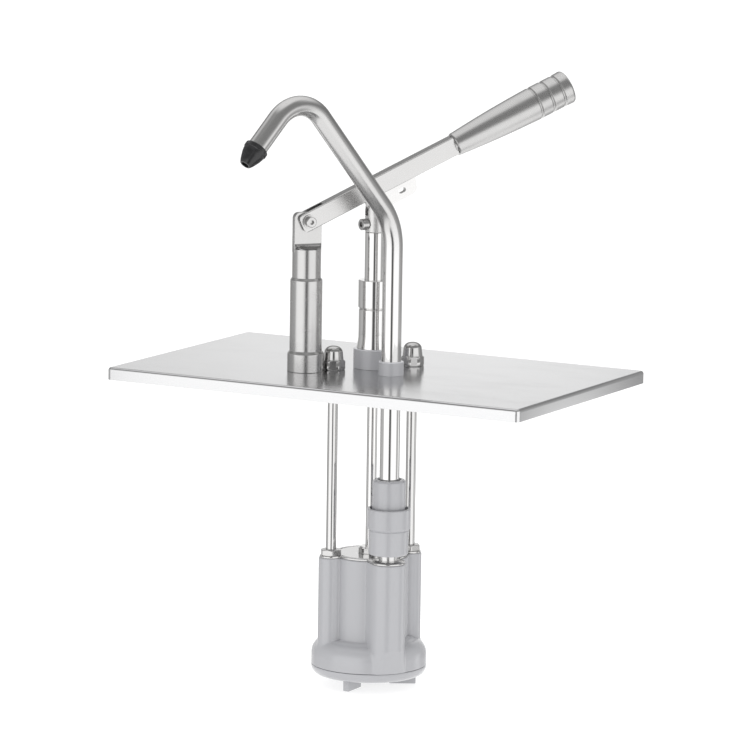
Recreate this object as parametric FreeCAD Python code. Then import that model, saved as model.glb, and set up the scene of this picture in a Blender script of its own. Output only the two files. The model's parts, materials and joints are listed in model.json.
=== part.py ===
import FreeCAD, Part
import math
import os

# Condiment pump dispenser on a quarter-size pan lid, in millimetres.
# +Z is up, z = 0 is the underside of the lid, X runs along the lid's long side.
V = FreeCAD.Vector
UP = V(0, 0, 1)

# --- lid -------------------------------------------------------------------
lid_l = 265.0            # standard quarter-size lid
lid_w = 162.0
lid_t = 1.0              # sheet
lid_h = 7.3              # folded edge, top face to bottom edge
lid_bend = 1.7           # outside bend radius
lid_corner = 2.6         # ground vertical corners

# --- where the pump stands on the lid ---------------------------------------
pump_x = -4.5
pump_y = 3.8
line_angle = 50.0        # plan angle of the post, rod and piston line
outlet_angle = -40.0     # plan angle from the piston to the spout tube
rod_reach = 24.5         # tie rods, each side of the piston
post_reach = 41.8        # lever post, behind the left rod
outlet_reach = 28.0      # spout tube axis

# --- fits --------------------------------------------------------------------
snug = 0.03              # radial gap of fixed pins and threads in one body
run_fit = 0.05           # radial gap of sliding and turning fits
side_gap = 0.30          # gap beside faces that pass each other

# --- lever post ---------------------------------------------------------------
ring_r = 10.5
ring_h = 10.4
ring_cone = 1.6
post_r = 9.3
post_step = 52.9
post_cone = 1.3
neck_r = 8.3
neck_top = 70.8
tongue_t = 3.8
tongue_cove = 3.0
pivot_h = 86.7           # pivot above the lid's top face
tongue_over = 5.2        # tongue above the pivot
post_bolt_r = 4.0

# --- lever ---------------------------------------------------------------------
lever_rise = 24.5        # degrees above level at rest; the stroke ends 10.5 below level
bar_t = 8.0
bar_h = 10.6
bar_tip = 4.9            # bar beyond the pivot
slot_end = 12.0          # end of the fork slot, from the pivot
bar_end = 98.6
pivot_r = 2.0
yoke_e = 10.0            # slot centre below the bar's middle
yoke_t = 4.0
yoke_start = 36.4
yoke_end = 69.5
pin_r = 2.0
slot_play = 0.30         # above and below the pin in its slot

# --- handle ----------------------------------------------------------------------
grip_start = 99.0
grip_end = 176.4
grip_r0 = 6.8
grip_r1 = 9.8
grip_groove = (153.8, 161.9, 169.6)

# --- fork, plunger, guide ----------------------------------------------------------
fork_r = 5.8
fork_z0 = 78.8           # underside of the fork block above the lid
fork_tip_r = 4.4
plunger_r = 5.75
stroke = 25.85
guide_r = 8.8
flange_r = 9.7
flange_h = 0.4
flange_cone = 6.3
guide_bore = 7.0
guide_z0 = -19.0         # lower end of the guide tube below the lid's top face
collar_r = 9.2
collar_z0 = 34.6
collar_z1 = 51.2
base_r = 11.5
base_h = 11.4
spring_coil = 5.1
spring_wire = 0.6
spring_turns = 12

# --- rods and nuts -------------------------------------------------------------------
rod_r = 3.0
acorn_af = 12.0
acorn_r = 5.85
acorn_top_r = 5.35
acorn_hex = 5.8
acorn_cap = 3.7
acorn_h = 13.9
acorn_turns = {"left": 26.0, "right": 38.0}      # plan angle of one corner of each nut
nut_af = 10.4
body_nut_af = 11.2
body_nut_turn = 6.3
nut_h = 3.4

# --- pump body ------------------------------------------------------------------------
body_top = -110.0
body_r = 22.5
bore_r = 20.0
lobe_r = 7.1
boss_r = 10.3
bell_top = -157.0
bell_r = 33.5
parting = -174.0
cap_bottom = -180.0
foot_bottom = -186.2
foot_t = 3.8
foot_angle = 30.0
spigot_r = 25.8
chamber_floor = -168.0
inlet_r = 6.0
seat_floor = -173.0
seat_top = -171.0
seat_bore = 5.5
port_z = -163.0
cover_t = 1.2

# --- piston ---------------------------------------------------------------------------
piston_top = -112.2
piston_h = 11.0
piston_r = bore_r - 0.6
piston_groove = 2.6       # depth of the seal's groove
seal_r = bore_r - run_fit

# --- spout ----------------------------------------------------------------------------
tube_r = 5.75
tube_wall = 1.0
tube_hole = 1.2          # lid hole beyond the tube
tube_z0 = -88.2
bend_z = 73.8            # start of the first bend above the lid's top face
spout_angle = 250.0      # plan direction of the gooseneck
bend1_r = 36.5
bend1_a = 41.0           # degrees from upright
mid_len = 71.1
bend2_r = 21.7
drop_a = 45.6            # degrees below level at the nozzle
drop_len = 27.0

# --- coupling ---------------------------------------------------------------------------
stub_r = 5.4
coup_bottom = -104.35
coup_seam = -90.36
coup_shoulder = -89.6
coup_lower_r = 11.7
coup_top = -77.4
coup_wall = 3.0          # cup round the sleeve
sleeve_wall = 3.8
seal_wire = 1.05         # the tube's seal ring
sleeve_top = -60.7

PUMP = V(pump_x, pump_y, lid_t)
LA = math.radians(line_angle)
ALONG = V(math.cos(LA), math.sin(LA), 0)
SIDE = V(-math.sin(LA), math.cos(LA), 0)
OA = math.radians(outlet_angle)
OUT = V(math.cos(OA), math.sin(OA), 0)
SPOUT = PUMP + OUT * outlet_reach
POST = PUMP - ALONG * post_reach
PIVOT = POST + UP * pivot_h
PIN_Z = pivot_h + post_reach * math.tan(math.radians(lever_rise)) - yoke_e / math.cos(math.radians(lever_rise))


# --- helpers ------------------------------------------------------------------------------
def cyl(at, z0, z1, r):
    """Upright cylinder on the vertical line through `at`, heights above the lid's top face."""
    return Part.makeCylinder(r, z1 - z0, V(at.x, at.y, lid_t + z0), UP)


def rod_between(a, b, r):
    """Cylinder from point a to point b."""
    return Part.makeCylinder(r, (b - a).Length, a, b - a)


def tube(at, z0, z1, r, bore):
    return cyl(at, z0, z1, r).cut(cyl(at, z0 - 1, z1 + 1, bore))


def turned(at, profile):
    """Solid of revolution about the upright line through `at` from (radius, height) pairs."""
    pts = [V(r, 0, z) for r, z in profile]
    face = Part.Face(Part.makePolygon(pts + [pts[0]]))
    shape = face.revolve(V(0, 0, 0), UP, 360)
    shape.translate(V(at.x, at.y, lid_t))
    return shape


def prism_between(a, direction, length, af, sides=6, turn=0.0):
    """Regular prism across flats `af`, from point a along a direction."""
    corner = af / 2.0 / math.cos(math.pi / sides)
    pts = []
    for i in range(sides):
        t = math.radians(turn) + 2 * math.pi * i / sides
        pts.append(V(corner * math.cos(t), corner * math.sin(t), 0))
    solid = Part.Face(Part.makePolygon(pts + [pts[0]])).extrude(V(0, 0, length))
    solid.Placement = FreeCAD.Placement(a, FreeCAD.Rotation(UP, direction))
    return solid


def hexagon(at, z0, z1, af, turn=0.0):
    return prism_between(V(at.x, at.y, lid_t + z0), UP, z1 - z0, af, 6, turn)


def rounded_nut(at, z0, z1, af, bore, turn=0.0, both=True):
    """Hexagon nut with turned-down corners and a plain bore."""
    corner = af / 2.0 / math.cos(math.pi / 6)
    c = corner - af / 2.0
    low = c * 0.5 if both else 0.0
    barrel = turned(at, [(0, z0), (corner - c * (1 if both else 0), z0), (corner, z0 + low),
                         (corner, z1 - c * 0.5), (corner - c, z1), (0, z1)])
    return hexagon(at, z0, z1, af, turn).common(barrel).cut(cyl(at, z0 - 1, z1 + 1, bore))


def in_plane(along, across, side=0.0):
    """Point in the lever's own axes at rest: along the bar, above its middle, to its side."""
    b = math.radians(lever_rise)
    u = ALONG * math.cos(b) + UP * math.sin(b)
    w = ALONG * (-math.sin(b)) + UP * math.cos(b)
    return PIVOT + u * along + w * across + SIDE * side


def plate_in_plane(points, half):
    """Plate of thickness 2*half from (along, across) corner points in the lever's axes."""
    pts = [in_plane(a, c, -half) for a, c in points]
    return Part.Face(Part.makePolygon(pts + [pts[0]])).extrude(SIDE * (2 * half))


def ring_points(a, c, r, t0, t1, n=14):
    """Points of an arc about (a, c) from t0 to t1 degrees."""
    out = []
    for i in range(n + 1):
        t = math.radians(t0 + (t1 - t0) * i / n)
        out.append((a + r * math.cos(t), c + r * math.sin(t)))
    return out


def obround_cut(a0, a1, c, r, half):
    """Slot cutter in the lever's axes with round ends centred at a0 and a1."""
    bar = plate_in_plane([(a0, c - r), (a1, c - r), (a1, c + r), (a0, c + r)], half)
    for a in (a0, a1):
        bar = bar.fuse(rod_between(in_plane(a, c, -half), in_plane(a, c, half), r))
    return bar.removeSplitter()


def fillet_upright(shape, r, pick=None):
    """Round the upright edges, or those that pick(edge) accepts."""
    edges = []
    for e in shape.Edges:
        if len(e.Vertexes) < 2:
            continue
        d = e.Vertexes[1].Point - e.Vertexes[0].Point
        if d.Length > 1e-6 and abs(d.normalize().dot(UP)) > 0.999:
            if pick is None or pick(e):
                edges.append(e)
    return shape.makeFillet(r, edges)


# --- lid -------------------------------------------------------------------------------------
def lid_shell(length, width, top, bottom, corner, bend):
    box = Part.makeBox(length, width, top - bottom, V(-length / 2, -width / 2, bottom))
    box = fillet_upright(box, corner)
    edges = [e for e in box.Edges if min(v.Z for v in e.Vertexes) > top - 1e-6]
    return box.makeFillet(bend, edges)


def lid_plate():
    outer = lid_shell(lid_l, lid_w, lid_t, lid_t - lid_h, lid_corner, lid_bend)
    inner = lid_shell(lid_l - 2 * lid_t, lid_w - 2 * lid_t, 0.0, lid_t - lid_h - 1,
                      lid_corner - lid_t, lid_bend - lid_t)
    sheet = outer.cut(inner)
    cuts = [cyl(POST, -5, 2, post_bolt_r + 0.2), cyl(PUMP, -5, 2, guide_r + 0.15),
            cyl(SPOUT, -5, 2, tube_r + tube_hole)]
    for s in (-1, 1):
        cuts.append(cyl(PUMP + ALONG * (s * rod_reach), -5, 2, rod_r + 0.2))
    for c in cuts:
        sheet = sheet.cut(c)
    return sheet


# --- post -------------------------------------------------------------------------------------
def fulcrum_post():
    turned_part = turned(POST, [(0, 0), (ring_r - 0.4, 0), (ring_r, 0.4), (ring_r, ring_h),
                                (post_r, ring_h + ring_cone), (post_r, post_step),
                                (neck_r, post_step + post_cone), (neck_r, neck_top + 30), (0, neck_top + 30)])
    top = pivot_h + tongue_over
    w = neck_r
    z1 = lid_t + neck_top
    # the tongue: a flat blade with a rounded top, milled out of the neck
    pts = [POST + ALONG * w + UP * (neck_top - 0.001)]
    r = 3.4
    for i in range(9):
        t = math.radians(90.0 * i / 8)
        pts.append(POST + ALONG * (w - r + r * math.cos(t)) + UP * (top - r + r * math.sin(t)))
    for i in range(9):
        t = math.radians(90.0 + 90.0 * i / 8)
        pts.append(POST + ALONG * (-w + r + r * math.cos(t)) + UP * (top - r + r * math.sin(t)))
    pts.append(POST - ALONG * w + UP * (neck_top - 0.001))
    blade = Part.Face(Part.makePolygon([p - SIDE * (tongue_t / 2) for p in pts + [pts[0]]]))
    blade = blade.extrude(SIDE * tongue_t)
    foot = cyl(POST, -1, neck_top, 30).fuse(blade)
    # the cutter's round nose leaves a cove on each side of the tongue's foot
    reach = tongue_t / 2 + tongue_cove
    for side in (-SIDE, SIDE):
        corners = [POST + side * a + UP * (neck_top + h) - ALONG * 20
                   for a, h in ((0, 0), (reach, 0), (reach, tongue_cove), (0, tongue_cove))]
        block = Part.Face(Part.makePolygon(corners + corners[:1])).extrude(ALONG * 40)
        nose = POST + side * reach + UP * (neck_top + tongue_cove)
        foot = foot.fuse(block.cut(rod_between(nose - ALONG * 25, nose + ALONG * 25, tongue_cove)))
    shape = turned_part.common(foot)
    root = rod_between(PIVOT - SIDE * 20, PIVOT + SIDE * 20, pivot_r + run_fit)
    shape = shape.cut(root)
    return shape.cut(cyl(POST, -1, 22, post_bolt_r + snug))


def post_bolt():
    z = -lid_t - 1.6
    head = hexagon(POST, z - 5.3, z, 13.0, 12)
    head = head.common(turned(POST, [(0, z - 5.3), (6.5, z - 5.3), (7.6, z - 4.6), (7.6, z), (0, z)]))
    return head.fuse(cyl(POST, z - 1, 19.0, post_bolt_r)).removeSplitter()


def post_washer():
    return tube(POST, -lid_t - 1.6, -lid_t, 8.0, post_bolt_r + 0.2)


# --- lever ---------------------------------------------------------------------------------------
def lever_bar():
    h = bar_h / 2
    r = 2.6
    pts = ring_points(-bar_tip + r, -h + r, r, 180, 270, 8)
    pts += [(bar_end, -h), (bar_end, h)]
    pts += ring_points(-bar_tip + r, h - r, r, 90, 180, 8)
    bar = plate_in_plane(pts, bar_t / 2)
    edges = []
    for e in bar.Edges:
        d = e.Vertexes[-1].Point - e.Vertexes[0].Point
        if d.Length > 60:
            edges.append(e)
    bar = bar.makeFillet(0.5, edges)
    spigot = rod_between(in_plane(bar_end - 0.5, 0), in_plane(bar_end + 5.4, 0), 5.0)
    bar = bar.fuse(spigot).removeSplitter()
    half = tongue_t / 2 + side_gap
    bar = bar.cut(plate_in_plane([(-20, -20), (slot_end, -20), (slot_end, 20), (-20, 20)], half))
    bar = bar.cut(rod_between(in_plane(0, 0, -20), in_plane(0, 0, 20), pivot_r + snug))
    bore = rod_between(in_plane(bar_end - 14, 0), in_plane(bar_end + 6, 0), 2.5 + snug)
    return bar.cut(bore)


def lever_yoke():
    lo = -yoke_e - pin_r - slot_play - 2.0
    top = -bar_h / 2
    r = 4.3
    pts = [(yoke_start, top), (yoke_start, lo + r)]
    pts += ring_points(yoke_start + r, lo + r, r, 180, 270)
    pts += ring_points(yoke_end - 6.0, lo + 5.0, 5.0, 270, 330, 8)
    pts += [(yoke_end, top)]
    plate = plate_in_plane(pts, yoke_t / 2)
    plate = plate.cut(obround_cut(40.2, 44.4, -yoke_e, pin_r + slot_play, 10))
    return plate.cut(obround_cut(57.9, 59.9, -yoke_e + 0.6, 1.4, 10))


def handle_stud():
    return rod_between(in_plane(bar_end - 13, 0), in_plane(bar_end + 24, 0), 2.5)


def handle_grip():
    prof = [(grip_start, 5.05), (grip_start, grip_r0 - 0.5), (grip_start + 0.5, grip_r0)]
    first = grip_groove[0] - 1.2
    n = 10
    for i in range(1, n + 1):
        f = i / n
        bulge = 0.45 * math.sin(math.pi * f)
        prof.append((grip_start + 0.5 + (first - grip_start - 0.5) * f,
                     grip_r0 + (grip_r1 - grip_r0) * f + bulge))
    for g in grip_groove:
        prof += [(g - 0.8, grip_r1), (g - 0.4, grip_r1 - 0.75), (g + 0.4, grip_r1 - 0.75), (g + 0.8, grip_r1)]
    prof += [(grip_end - 1.2, grip_r1 + 0.25), (grip_end - 0.35, grip_r1 - 0.15), (grip_end, grip_r1 - 0.9)]
    prof += [(grip_end, 0.0), (grip_start + 26, 0.0), (grip_start + 26, 2.5 + snug),
             (grip_start + 6.4, 2.5 + snug), (grip_start + 6.4, 5.05)]
    pts = [V(r, 0, a) for a, r in prof]
    grip = Part.Face(Part.makePolygon(pts + [pts[0]])).revolve(V(0, 0, 0), UP, 360)
    axis = in_plane(1, 0) - in_plane(0, 0)
    grip.Placement = FreeCAD.Placement(in_plane(0, 0), FreeCAD.Rotation(UP, axis))
    return grip


def pivot_stack():
    """Pivot screw, its two washers and nut, across the lever's fork."""
    w = bar_t / 2
    washer_t = 0.8
    parts = {}
    for name, s in (("pivot_washer_front", -1), ("pivot_washer_back", 1)):
        a = PIVOT + SIDE * (s * w)
        b = PIVOT + SIDE * (s * (w + washer_t))
        parts[name] = rod_between(a, b, 4.0).cut(rod_between(a - SIDE * 2, b + SIDE * 2, pivot_r + snug)
                                                 if s > 0 else
                                                 rod_between(b - SIDE * 2, a + SIDE * 2, pivot_r + snug))
    seat = PIVOT - SIDE * (w + washer_t)
    head = rod_between(seat, seat - SIDE * 3.0, 3.0)
    head = head.makeChamfer(0.35, [e for e in head.Edges if (e.CenterOfMass - (seat - SIDE * 3.0)).Length < 0.1])
    shank = rod_between(seat, PIVOT + SIDE * (w + washer_t + 4.6), pivot_r)
    socket = prism_between(seat - SIDE * 3.1, SIDE, 1.9, 2.5)
    parts["pivot_bolt"] = head.fuse(shank).removeSplitter().cut(socket)
    far = PIVOT + SIDE * (w + washer_t)
    nut = prism_between(far, SIDE, 3.6, 7.0)
    parts["pivot_nut"] = nut.cut(rod_between(far - SIDE * 1, far + SIDE * 6, pivot_r + snug))
    return parts


# --- fork and plunger ------------------------------------------------------------------------------
def fork_outline():
    """Side view of the fork in (along, height) points: block, tapered ears, round tip."""
    zp = PIN_Z
    r = fork_tip_r
    zs = zp - 6.3
    left = []
    right = []
    for i in range(11):
        t = math.radians(8 + (90 - 8) * i / 10)
        right.append((r * math.cos(t), zp + r * math.sin(t)))
    for x, z in reversed(right[:-1]):
        left.append((-x, z))
    return [(fork_r + 1, fork_z0), (fork_r + 1, zs - 0.5), (fork_r, zs + 0.6)] + right + left + \
           [(-fork_r, zs + 0.6), (-fork_r - 1, zs - 0.5), (-fork_r - 1, fork_z0)]


def clevis_fork():
    pts = [PUMP + ALONG * x + UP * z - SIDE * 12 for x, z in fork_outline()]
    side_view = Part.Face(Part.makePolygon(pts + [pts[0]])).extrude(SIDE * 24)
    block = turned(PUMP, [(0, fork_z0), (fork_r - 0.4, fork_z0), (fork_r, fork_z0 + 0.4),
                          (fork_r, PIN_Z + 10), (0, PIN_Z + 10)])
    block = block.common(side_view)
    half = yoke_t / 2 + side_gap
    zs = lid_t + PIN_Z - 6.3
    slot = Part.makeBox(40, 2 * half, 40, V(-20, -half, 0))
    slot.rotate(V(0, 0, 0), UP, line_angle)
    slot.translate(V(PUMP.x, PUMP.y, zs))
    block = block.cut(slot)
    for s in (-1, 1):
        flat = Part.makeBox(40, 10, 40, V(-20, 0 if s > 0 else -10, 0))
        flat.translate(V(0, s * 4.7, 0))
        flat.rotate(V(0, 0, 0), UP, line_angle)
        flat.translate(V(PUMP.x, PUMP.y, zs + 1.5))
        block = block.cut(flat)
    pin = PUMP + UP * PIN_Z
    block = block.cut(rod_between(pin - SIDE * 20, pin + SIDE * 20, pin_r + snug))
    block = block.cut(cyl(PUMP, fork_z0 - 1, fork_z0 + 7.4, 4.0 + snug))
    a, b = clamp_axis()
    return block.cut(rod_between(a, b, 2.0 + snug))


def clamp_axis():
    t = math.radians(241.0)
    d = V(math.cos(t), math.sin(t), 0)
    z = UP * 83.6
    return PUMP + z + d * 3.0, PUMP + z + d * 12.0


def fork_clamp_screw():
    a, b = clamp_axis()
    d = (b - a).normalize()
    c = PUMP + UP * 83.6
    head = rod_between(c + d * 5.85, c + d * 9.6, 3.3)
    head = head.makeChamfer(0.3, [e for e in head.Edges if (e.CenterOfMass - (c + d * 9.6)).Length < 0.1])
    shank = rod_between(c + d * 4.05, c + d * 6.5, 2.0)
    socket = prism_between(c + d * 9.7, d * -1, 2.2, 3.0)
    return head.fuse(shank).removeSplitter().cut(socket)


def fork_pin():
    pin = PUMP + UP * PIN_Z
    head = rod_between(pin - SIDE * 5.8, pin - SIDE * 4.7, 3.1)
    shank = rod_between(pin - SIDE * 5.0, pin + SIDE * 6.3, pin_r)
    shape = head.fuse(shank).removeSplitter()
    groove = rod_between(pin + SIDE * 4.75, pin + SIDE * 5.45, 4.0)
    groove = groove.cut(rod_between(pin + SIDE * 4, pin + SIDE * 6, pin_r - 0.4))
    return shape.cut(groove)


def fork_clip():
    pin = PUMP + UP * PIN_Z
    a = pin + SIDE * 4.78
    b = pin + SIDE * 5.42
    ring = rod_between(a, b, 3.5).cut(rod_between(a - SIDE, b + SIDE, pin_r - 0.4 + snug))
    mouth = Part.makeBox(3.0, 20, 6, V(-1.5, -10, -6))
    mouth.rotate(V(0, 0, 0), UP, line_angle)
    mouth.translate(pin)
    return ring.cut(mouth)


def plunger():
    z_foot = collar_z0 + 4.1
    body = turned(PUMP, [(0, z_foot), (6.4, z_foot), (6.7, z_foot + 0.3), (6.7, z_foot + 3.0), (plunger_r, z_foot + 3.0),
                         (plunger_r, fork_z0), (4.0, fork_z0), (4.0, fork_z0 + 7.1), (0, fork_z0 + 7.1)])
    return body.cut(cyl(PUMP, z_foot - 1, z_foot + 24, rod_r + snug))


def piston_rod():
    return cyl(PUMP, piston_top - piston_h - 4.8, collar_z0 + 27.8, rod_r)


# --- piston -----------------------------------------------------------------------------------------
def piston():
    z1 = piston_top
    z0 = z1 - piston_h
    g0 = z0 + 3.0
    g1 = z1 - 3.0
    root = piston_r - piston_groove
    shape = turned(PUMP, [(0, z0), (piston_r - 0.6, z0), (piston_r, z0 + 0.6), (piston_r, g0), (root, g0),
                          (root, g1), (piston_r, g1), (piston_r, z1 - 0.6), (piston_r - 0.6, z1), (0, z1)])
    return shape.cut(cyl(PUMP, z0 - 1, z1 + 1, rod_r + snug))


def piston_seal():
    g0 = piston_top - piston_h + 3.05
    g1 = piston_top - 3.05
    root = piston_r - piston_groove + run_fit
    return turned(PUMP, [(root, g0), (seal_r - 1.0, g0), (seal_r, g0 + 0.9), (seal_r - 0.5, (g0 + g1) / 2),
                         (seal_r, g1 - 0.9), (seal_r - 1.0, g1), (root, g1)])


def piston_nut():
    z1 = piston_top - piston_h
    return rounded_nut(PUMP, z1 - 4.2, z1, 10.0, rod_r + snug, 20)


def piston_collar():
    """Loose stop ring that backs the piston on its rod."""
    return tube(PUMP, piston_top, piston_top + 0.9, 4.6, rod_r + snug)


# --- guide --------------------------------------------------------------------------------------------
def guide_tube():
    z1 = collar_z0 + 7.4
    body = turned(PUMP, [(guide_bore, guide_z0 + 2.5), (guide_bore, z1), (7.9, z1), (7.9, collar_z0),
                         (guide_r - 0.5, collar_z0), (guide_r, collar_z0 - 0.6),
                         (guide_r, base_h + flange_h + flange_cone), (flange_r, base_h + flange_h),
                         (flange_r, base_h), (guide_r, base_h), (guide_r, guide_z0),
                         (rod_r + run_fit, guide_z0), (rod_r + run_fit, guide_z0 + 2.5)])
    return body


def guide_collar():
    z_lip = collar_z0 + 7.6
    return turned(PUMP, [(7.93, collar_z0), (collar_r - 0.9, collar_z0), (collar_r, collar_z0 + 0.8),
                         (collar_r, collar_z1 - 0.6), (collar_r - 0.6, collar_z1), (plunger_r + run_fit, collar_z1),
                         (plunger_r + run_fit, z_lip), (7.93, z_lip)])


def guide_base():
    return turned(PUMP, [(guide_r + snug, 0), (base_r, 0), (base_r, base_h - 0.3), (base_r - 0.3, base_h),
                         (guide_r + snug, base_h)])


def guide_nut():
    z1 = -lid_t
    return rounded_nut(PUMP, z1 - 5.0, z1, 23.0, guide_r + snug, 8)


def return_spring():
    z0 = guide_z0 + 2.5 + spring_wire + 0.02
    z1 = collar_z0 + 4.1 - spring_wire - 0.02
    h = z1 - z0
    helix = Part.makeHelix(h / spring_turns, h, spring_coil)
    start = helix.Vertexes[0].Point
    tangent = V(0, 2 * math.pi * spring_coil, h / spring_turns)
    ring = Part.Wire(Part.makeCircle(spring_wire, start, tangent))
    coil = Part.Wire(helix).makePipeShell([ring], True, True)
    coil.translate(V(PUMP.x, PUMP.y, lid_t + z0))
    return coil


# --- rods and nuts ---------------------------------------------------------------------------------------
def rod_set():
    parts = {}
    for name, s in (("left", -1), ("right", 1)):
        at = PUMP + ALONG * (s * rod_reach)
        parts["tie_rod_" + name] = cyl(at, body_top - 27.0, 9.6, rod_r)
        parts["acorn_nut_" + name] = acorn_nut(at, acorn_turns[name])
        parts["lock_nut_" + name] = rounded_nut(at, -lid_t - 5.0, -lid_t, nut_af, rod_r + snug, 17 * s)
        parts["body_nut_" + name] = rounded_nut(at, body_top + cover_t, body_top + cover_t + nut_h, body_nut_af,
                                                rod_r + snug, body_nut_turn)
    return parts


def acorn_nut(at, turn):
    """Domed nut: hexagon below, a slightly tapered cap with a flattened dome above, and a blind bore."""
    corner = acorn_af / 2 / math.cos(math.pi / 6)
    profile = [(0, 0), (corner - 0.5, 0), (corner, 0.5), (corner, acorn_hex - 0.7),
               (acorn_r + 0.3, acorn_hex), (acorn_r, acorn_hex + 0.2)]
    for i in range(11):
        t = math.radians(90.0 * i / 10)
        profile.append((acorn_top_r * math.cos(t), acorn_h - acorn_cap + acorn_cap * math.sin(t)))
    profile[-1] = (0, acorn_h)
    hex_part = hexagon(at, 0, acorn_hex, acorn_af, turn).fuse(cyl(at, acorn_hex - 0.5, acorn_h + 1, acorn_r + 0.02))
    nut = turned(at, profile).common(hex_part).removeSplitter()
    return nut.cut(cyl(at, -1, 9.8, rod_r + snug))


# --- pump body ---------------------------------------------------------------------------------------------
def lobed(z0, z1, grow=0.0):
    """The body's plan outline, swollen by `grow`, between two heights."""
    shape = cyl(PUMP, z0, z1, body_r + grow)
    for s in (-1, 1):
        shape = shape.fuse(cyl(PUMP + ALONG * (s * rod_reach), z0, z1, lobe_r + grow))
    shape = shape.fuse(cyl(SPOUT, z0, z1, boss_r + grow))
    w = (boss_r + grow) * 2
    neck = Part.makeBox(outlet_reach, w, z1 - z0, V(0, -w / 2, 0))
    neck.rotate(V(0, 0, 0), UP, outlet_angle)
    neck.translate(V(PUMP.x, PUMP.y, lid_t + z0))
    return shape.fuse(neck).removeSplitter()


def bell():
    prof = [(0, bell_top - 1.5), (body_r - 2, bell_top - 1.0), (body_r + 2.5, bell_top - 1.2)]
    r = 9.0
    for i in range(9):
        t = math.radians(75 - 75.0 * i / 8)
        prof.append((bell_r - r + r * math.cos(t), bell_top - 11.0 + r * math.sin(t)))
    prof += [(bell_r, parting + 0.3), (bell_r - 0.3, parting), (0, parting)]
    return turned(PUMP, prof)


def pump_body():
    lobes = lobed(parting, body_top)
    keep = turned(PUMP, [(0, parting), (bell_r + 0.8, parting), (bell_r + 5.2, bell_top - 4), (60, bell_top + 2),
                         (60, body_top), (0, body_top)])
    shape = lobes.common(keep).fuse(bell())
    shape = shape.cut(cyl(PUMP, parting - 1, body_top + 1, bore_r))
    shape = shape.cut(cyl(PUMP, parting - 1, chamber_floor + snug, spigot_r + run_fit))
    for s in (-1, 1):
        at = PUMP + ALONG * (s * rod_reach)
        shape = shape.cut(cyl(at, body_top - 28.0, body_top + 1, rod_r + snug))
    shape = shape.cut(cyl(SPOUT, port_z - 4, body_top + 1, 4.0))
    shape = shape.cut(cyl(SPOUT, body_top - 14.0, body_top + 1, stub_r + snug))
    a = PUMP + UP * port_z
    shape = shape.cut(rod_between(a + OUT * (bore_r - 3), a + OUT * outlet_reach, 3.5))
    return shape.removeSplitter()


def body_cover():
    plate = lobed(body_top, body_top + cover_t, -0.5)
    plate = plate.cut(cyl(PUMP, body_top - 1, body_top + 3, 5.2))
    plate = plate.cut(cyl(SPOUT, body_top - 1, body_top + 3, stub_r + 0.15))
    for s in (-1, 1):
        plate = plate.cut(cyl(PUMP + ALONG * (s * rod_reach), body_top - 1, body_top + 3, rod_r + 0.2))
    return plate


def rod_gland():
    z = body_top + cover_t
    return turned(PUMP, [(rod_r + run_fit, body_top - 0.8), (5.0, body_top - 0.8), (5.0, z), (6.9, z),
                         (6.9, z + 3.0), (6.0, z + 4.0), (rod_r + run_fit, z + 4.0)])


def base_cap():
    prof = [(0, chamber_floor), (spigot_r - 0.5, chamber_floor), (spigot_r, chamber_floor - 0.5),
            (spigot_r, chamber_floor - 1.6), (spigot_r - 1.7, chamber_floor - 1.6),
            (spigot_r - 1.7, chamber_floor - 3.9), (spigot_r, chamber_floor - 3.9),
            (spigot_r, parting - 0.25), (bell_r - 0.3, parting - 0.25), (bell_r, parting - 0.5)]
    r = 4.8
    for i in range(1, 9):
        t = math.radians(-90.0 * i / 8)
        prof.append((bell_r - r + r * math.cos(t), cap_bottom + r + r * math.sin(t)))
    prof += [(0, cap_bottom)]
    cap = turned(PUMP, prof)
    for i in range(3):
        rib = Part.makeBox(15.5, foot_t, parting - foot_bottom - 3, V(12.0, -foot_t / 2, 0))
        rib.rotate(V(0, 0, 0), UP, foot_angle + 120 * i)
        rib.translate(V(PUMP.x, PUMP.y, lid_t + foot_bottom))
        cap = cap.fuse(rib)
    cap = cap.cut(turned(PUMP, [(0, cap_bottom - 1), (inlet_r, cap_bottom - 1), (inlet_r, seat_floor - 1.5),
                                (inlet_r + 1.5, seat_floor), (9.3 + snug, seat_floor), (9.3 + snug, chamber_floor + 1),
                                (0, chamber_floor + 1)]))
    return cap.removeSplitter()


def o_ring(at, z, r_mid, r_wire):
    ring = Part.makeTorus(r_mid, r_wire, V(at.x, at.y, lid_t + z), UP)
    return ring


def inlet_seat():
    return turned(PUMP, [(seat_bore, seat_floor + 0.05), (9.3, seat_floor + 0.05), (9.3, seat_top), (seat_bore, seat_top)])


def inlet_cage():
    z0 = chamber_floor - 2.95
    z1 = -153.9
    body = turned(PUMP, [(8.2, z0), (9.3, z0), (9.3, chamber_floor), (12.2, chamber_floor), (12.2, chamber_floor + 1.6),
                         (10.2, chamber_floor + 1.6), (10.2, z1), (3.5, z1), (3.5, z1 - 1.6), (8.2, z1 - 1.6)])
    for i in range(3):
        window = Part.makeBox(20, 9, z1 - 4.0 - (chamber_floor + 3.0), V(0, -4.5, 0))
        window.rotate(V(0, 0, 0), UP, 10 + 120 * i)
        window.translate(V(PUMP.x, PUMP.y, lid_t + chamber_floor + 3.0))
        body = body.cut(window)
    return body


def ball(at, z_seat, r, seat_r):
    centre = z_seat + math.sqrt(r * r - seat_r * seat_r) + snug
    return Part.makeSphere(r, V(at.x, at.y, lid_t + centre), UP, -90, 90, 360)


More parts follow.
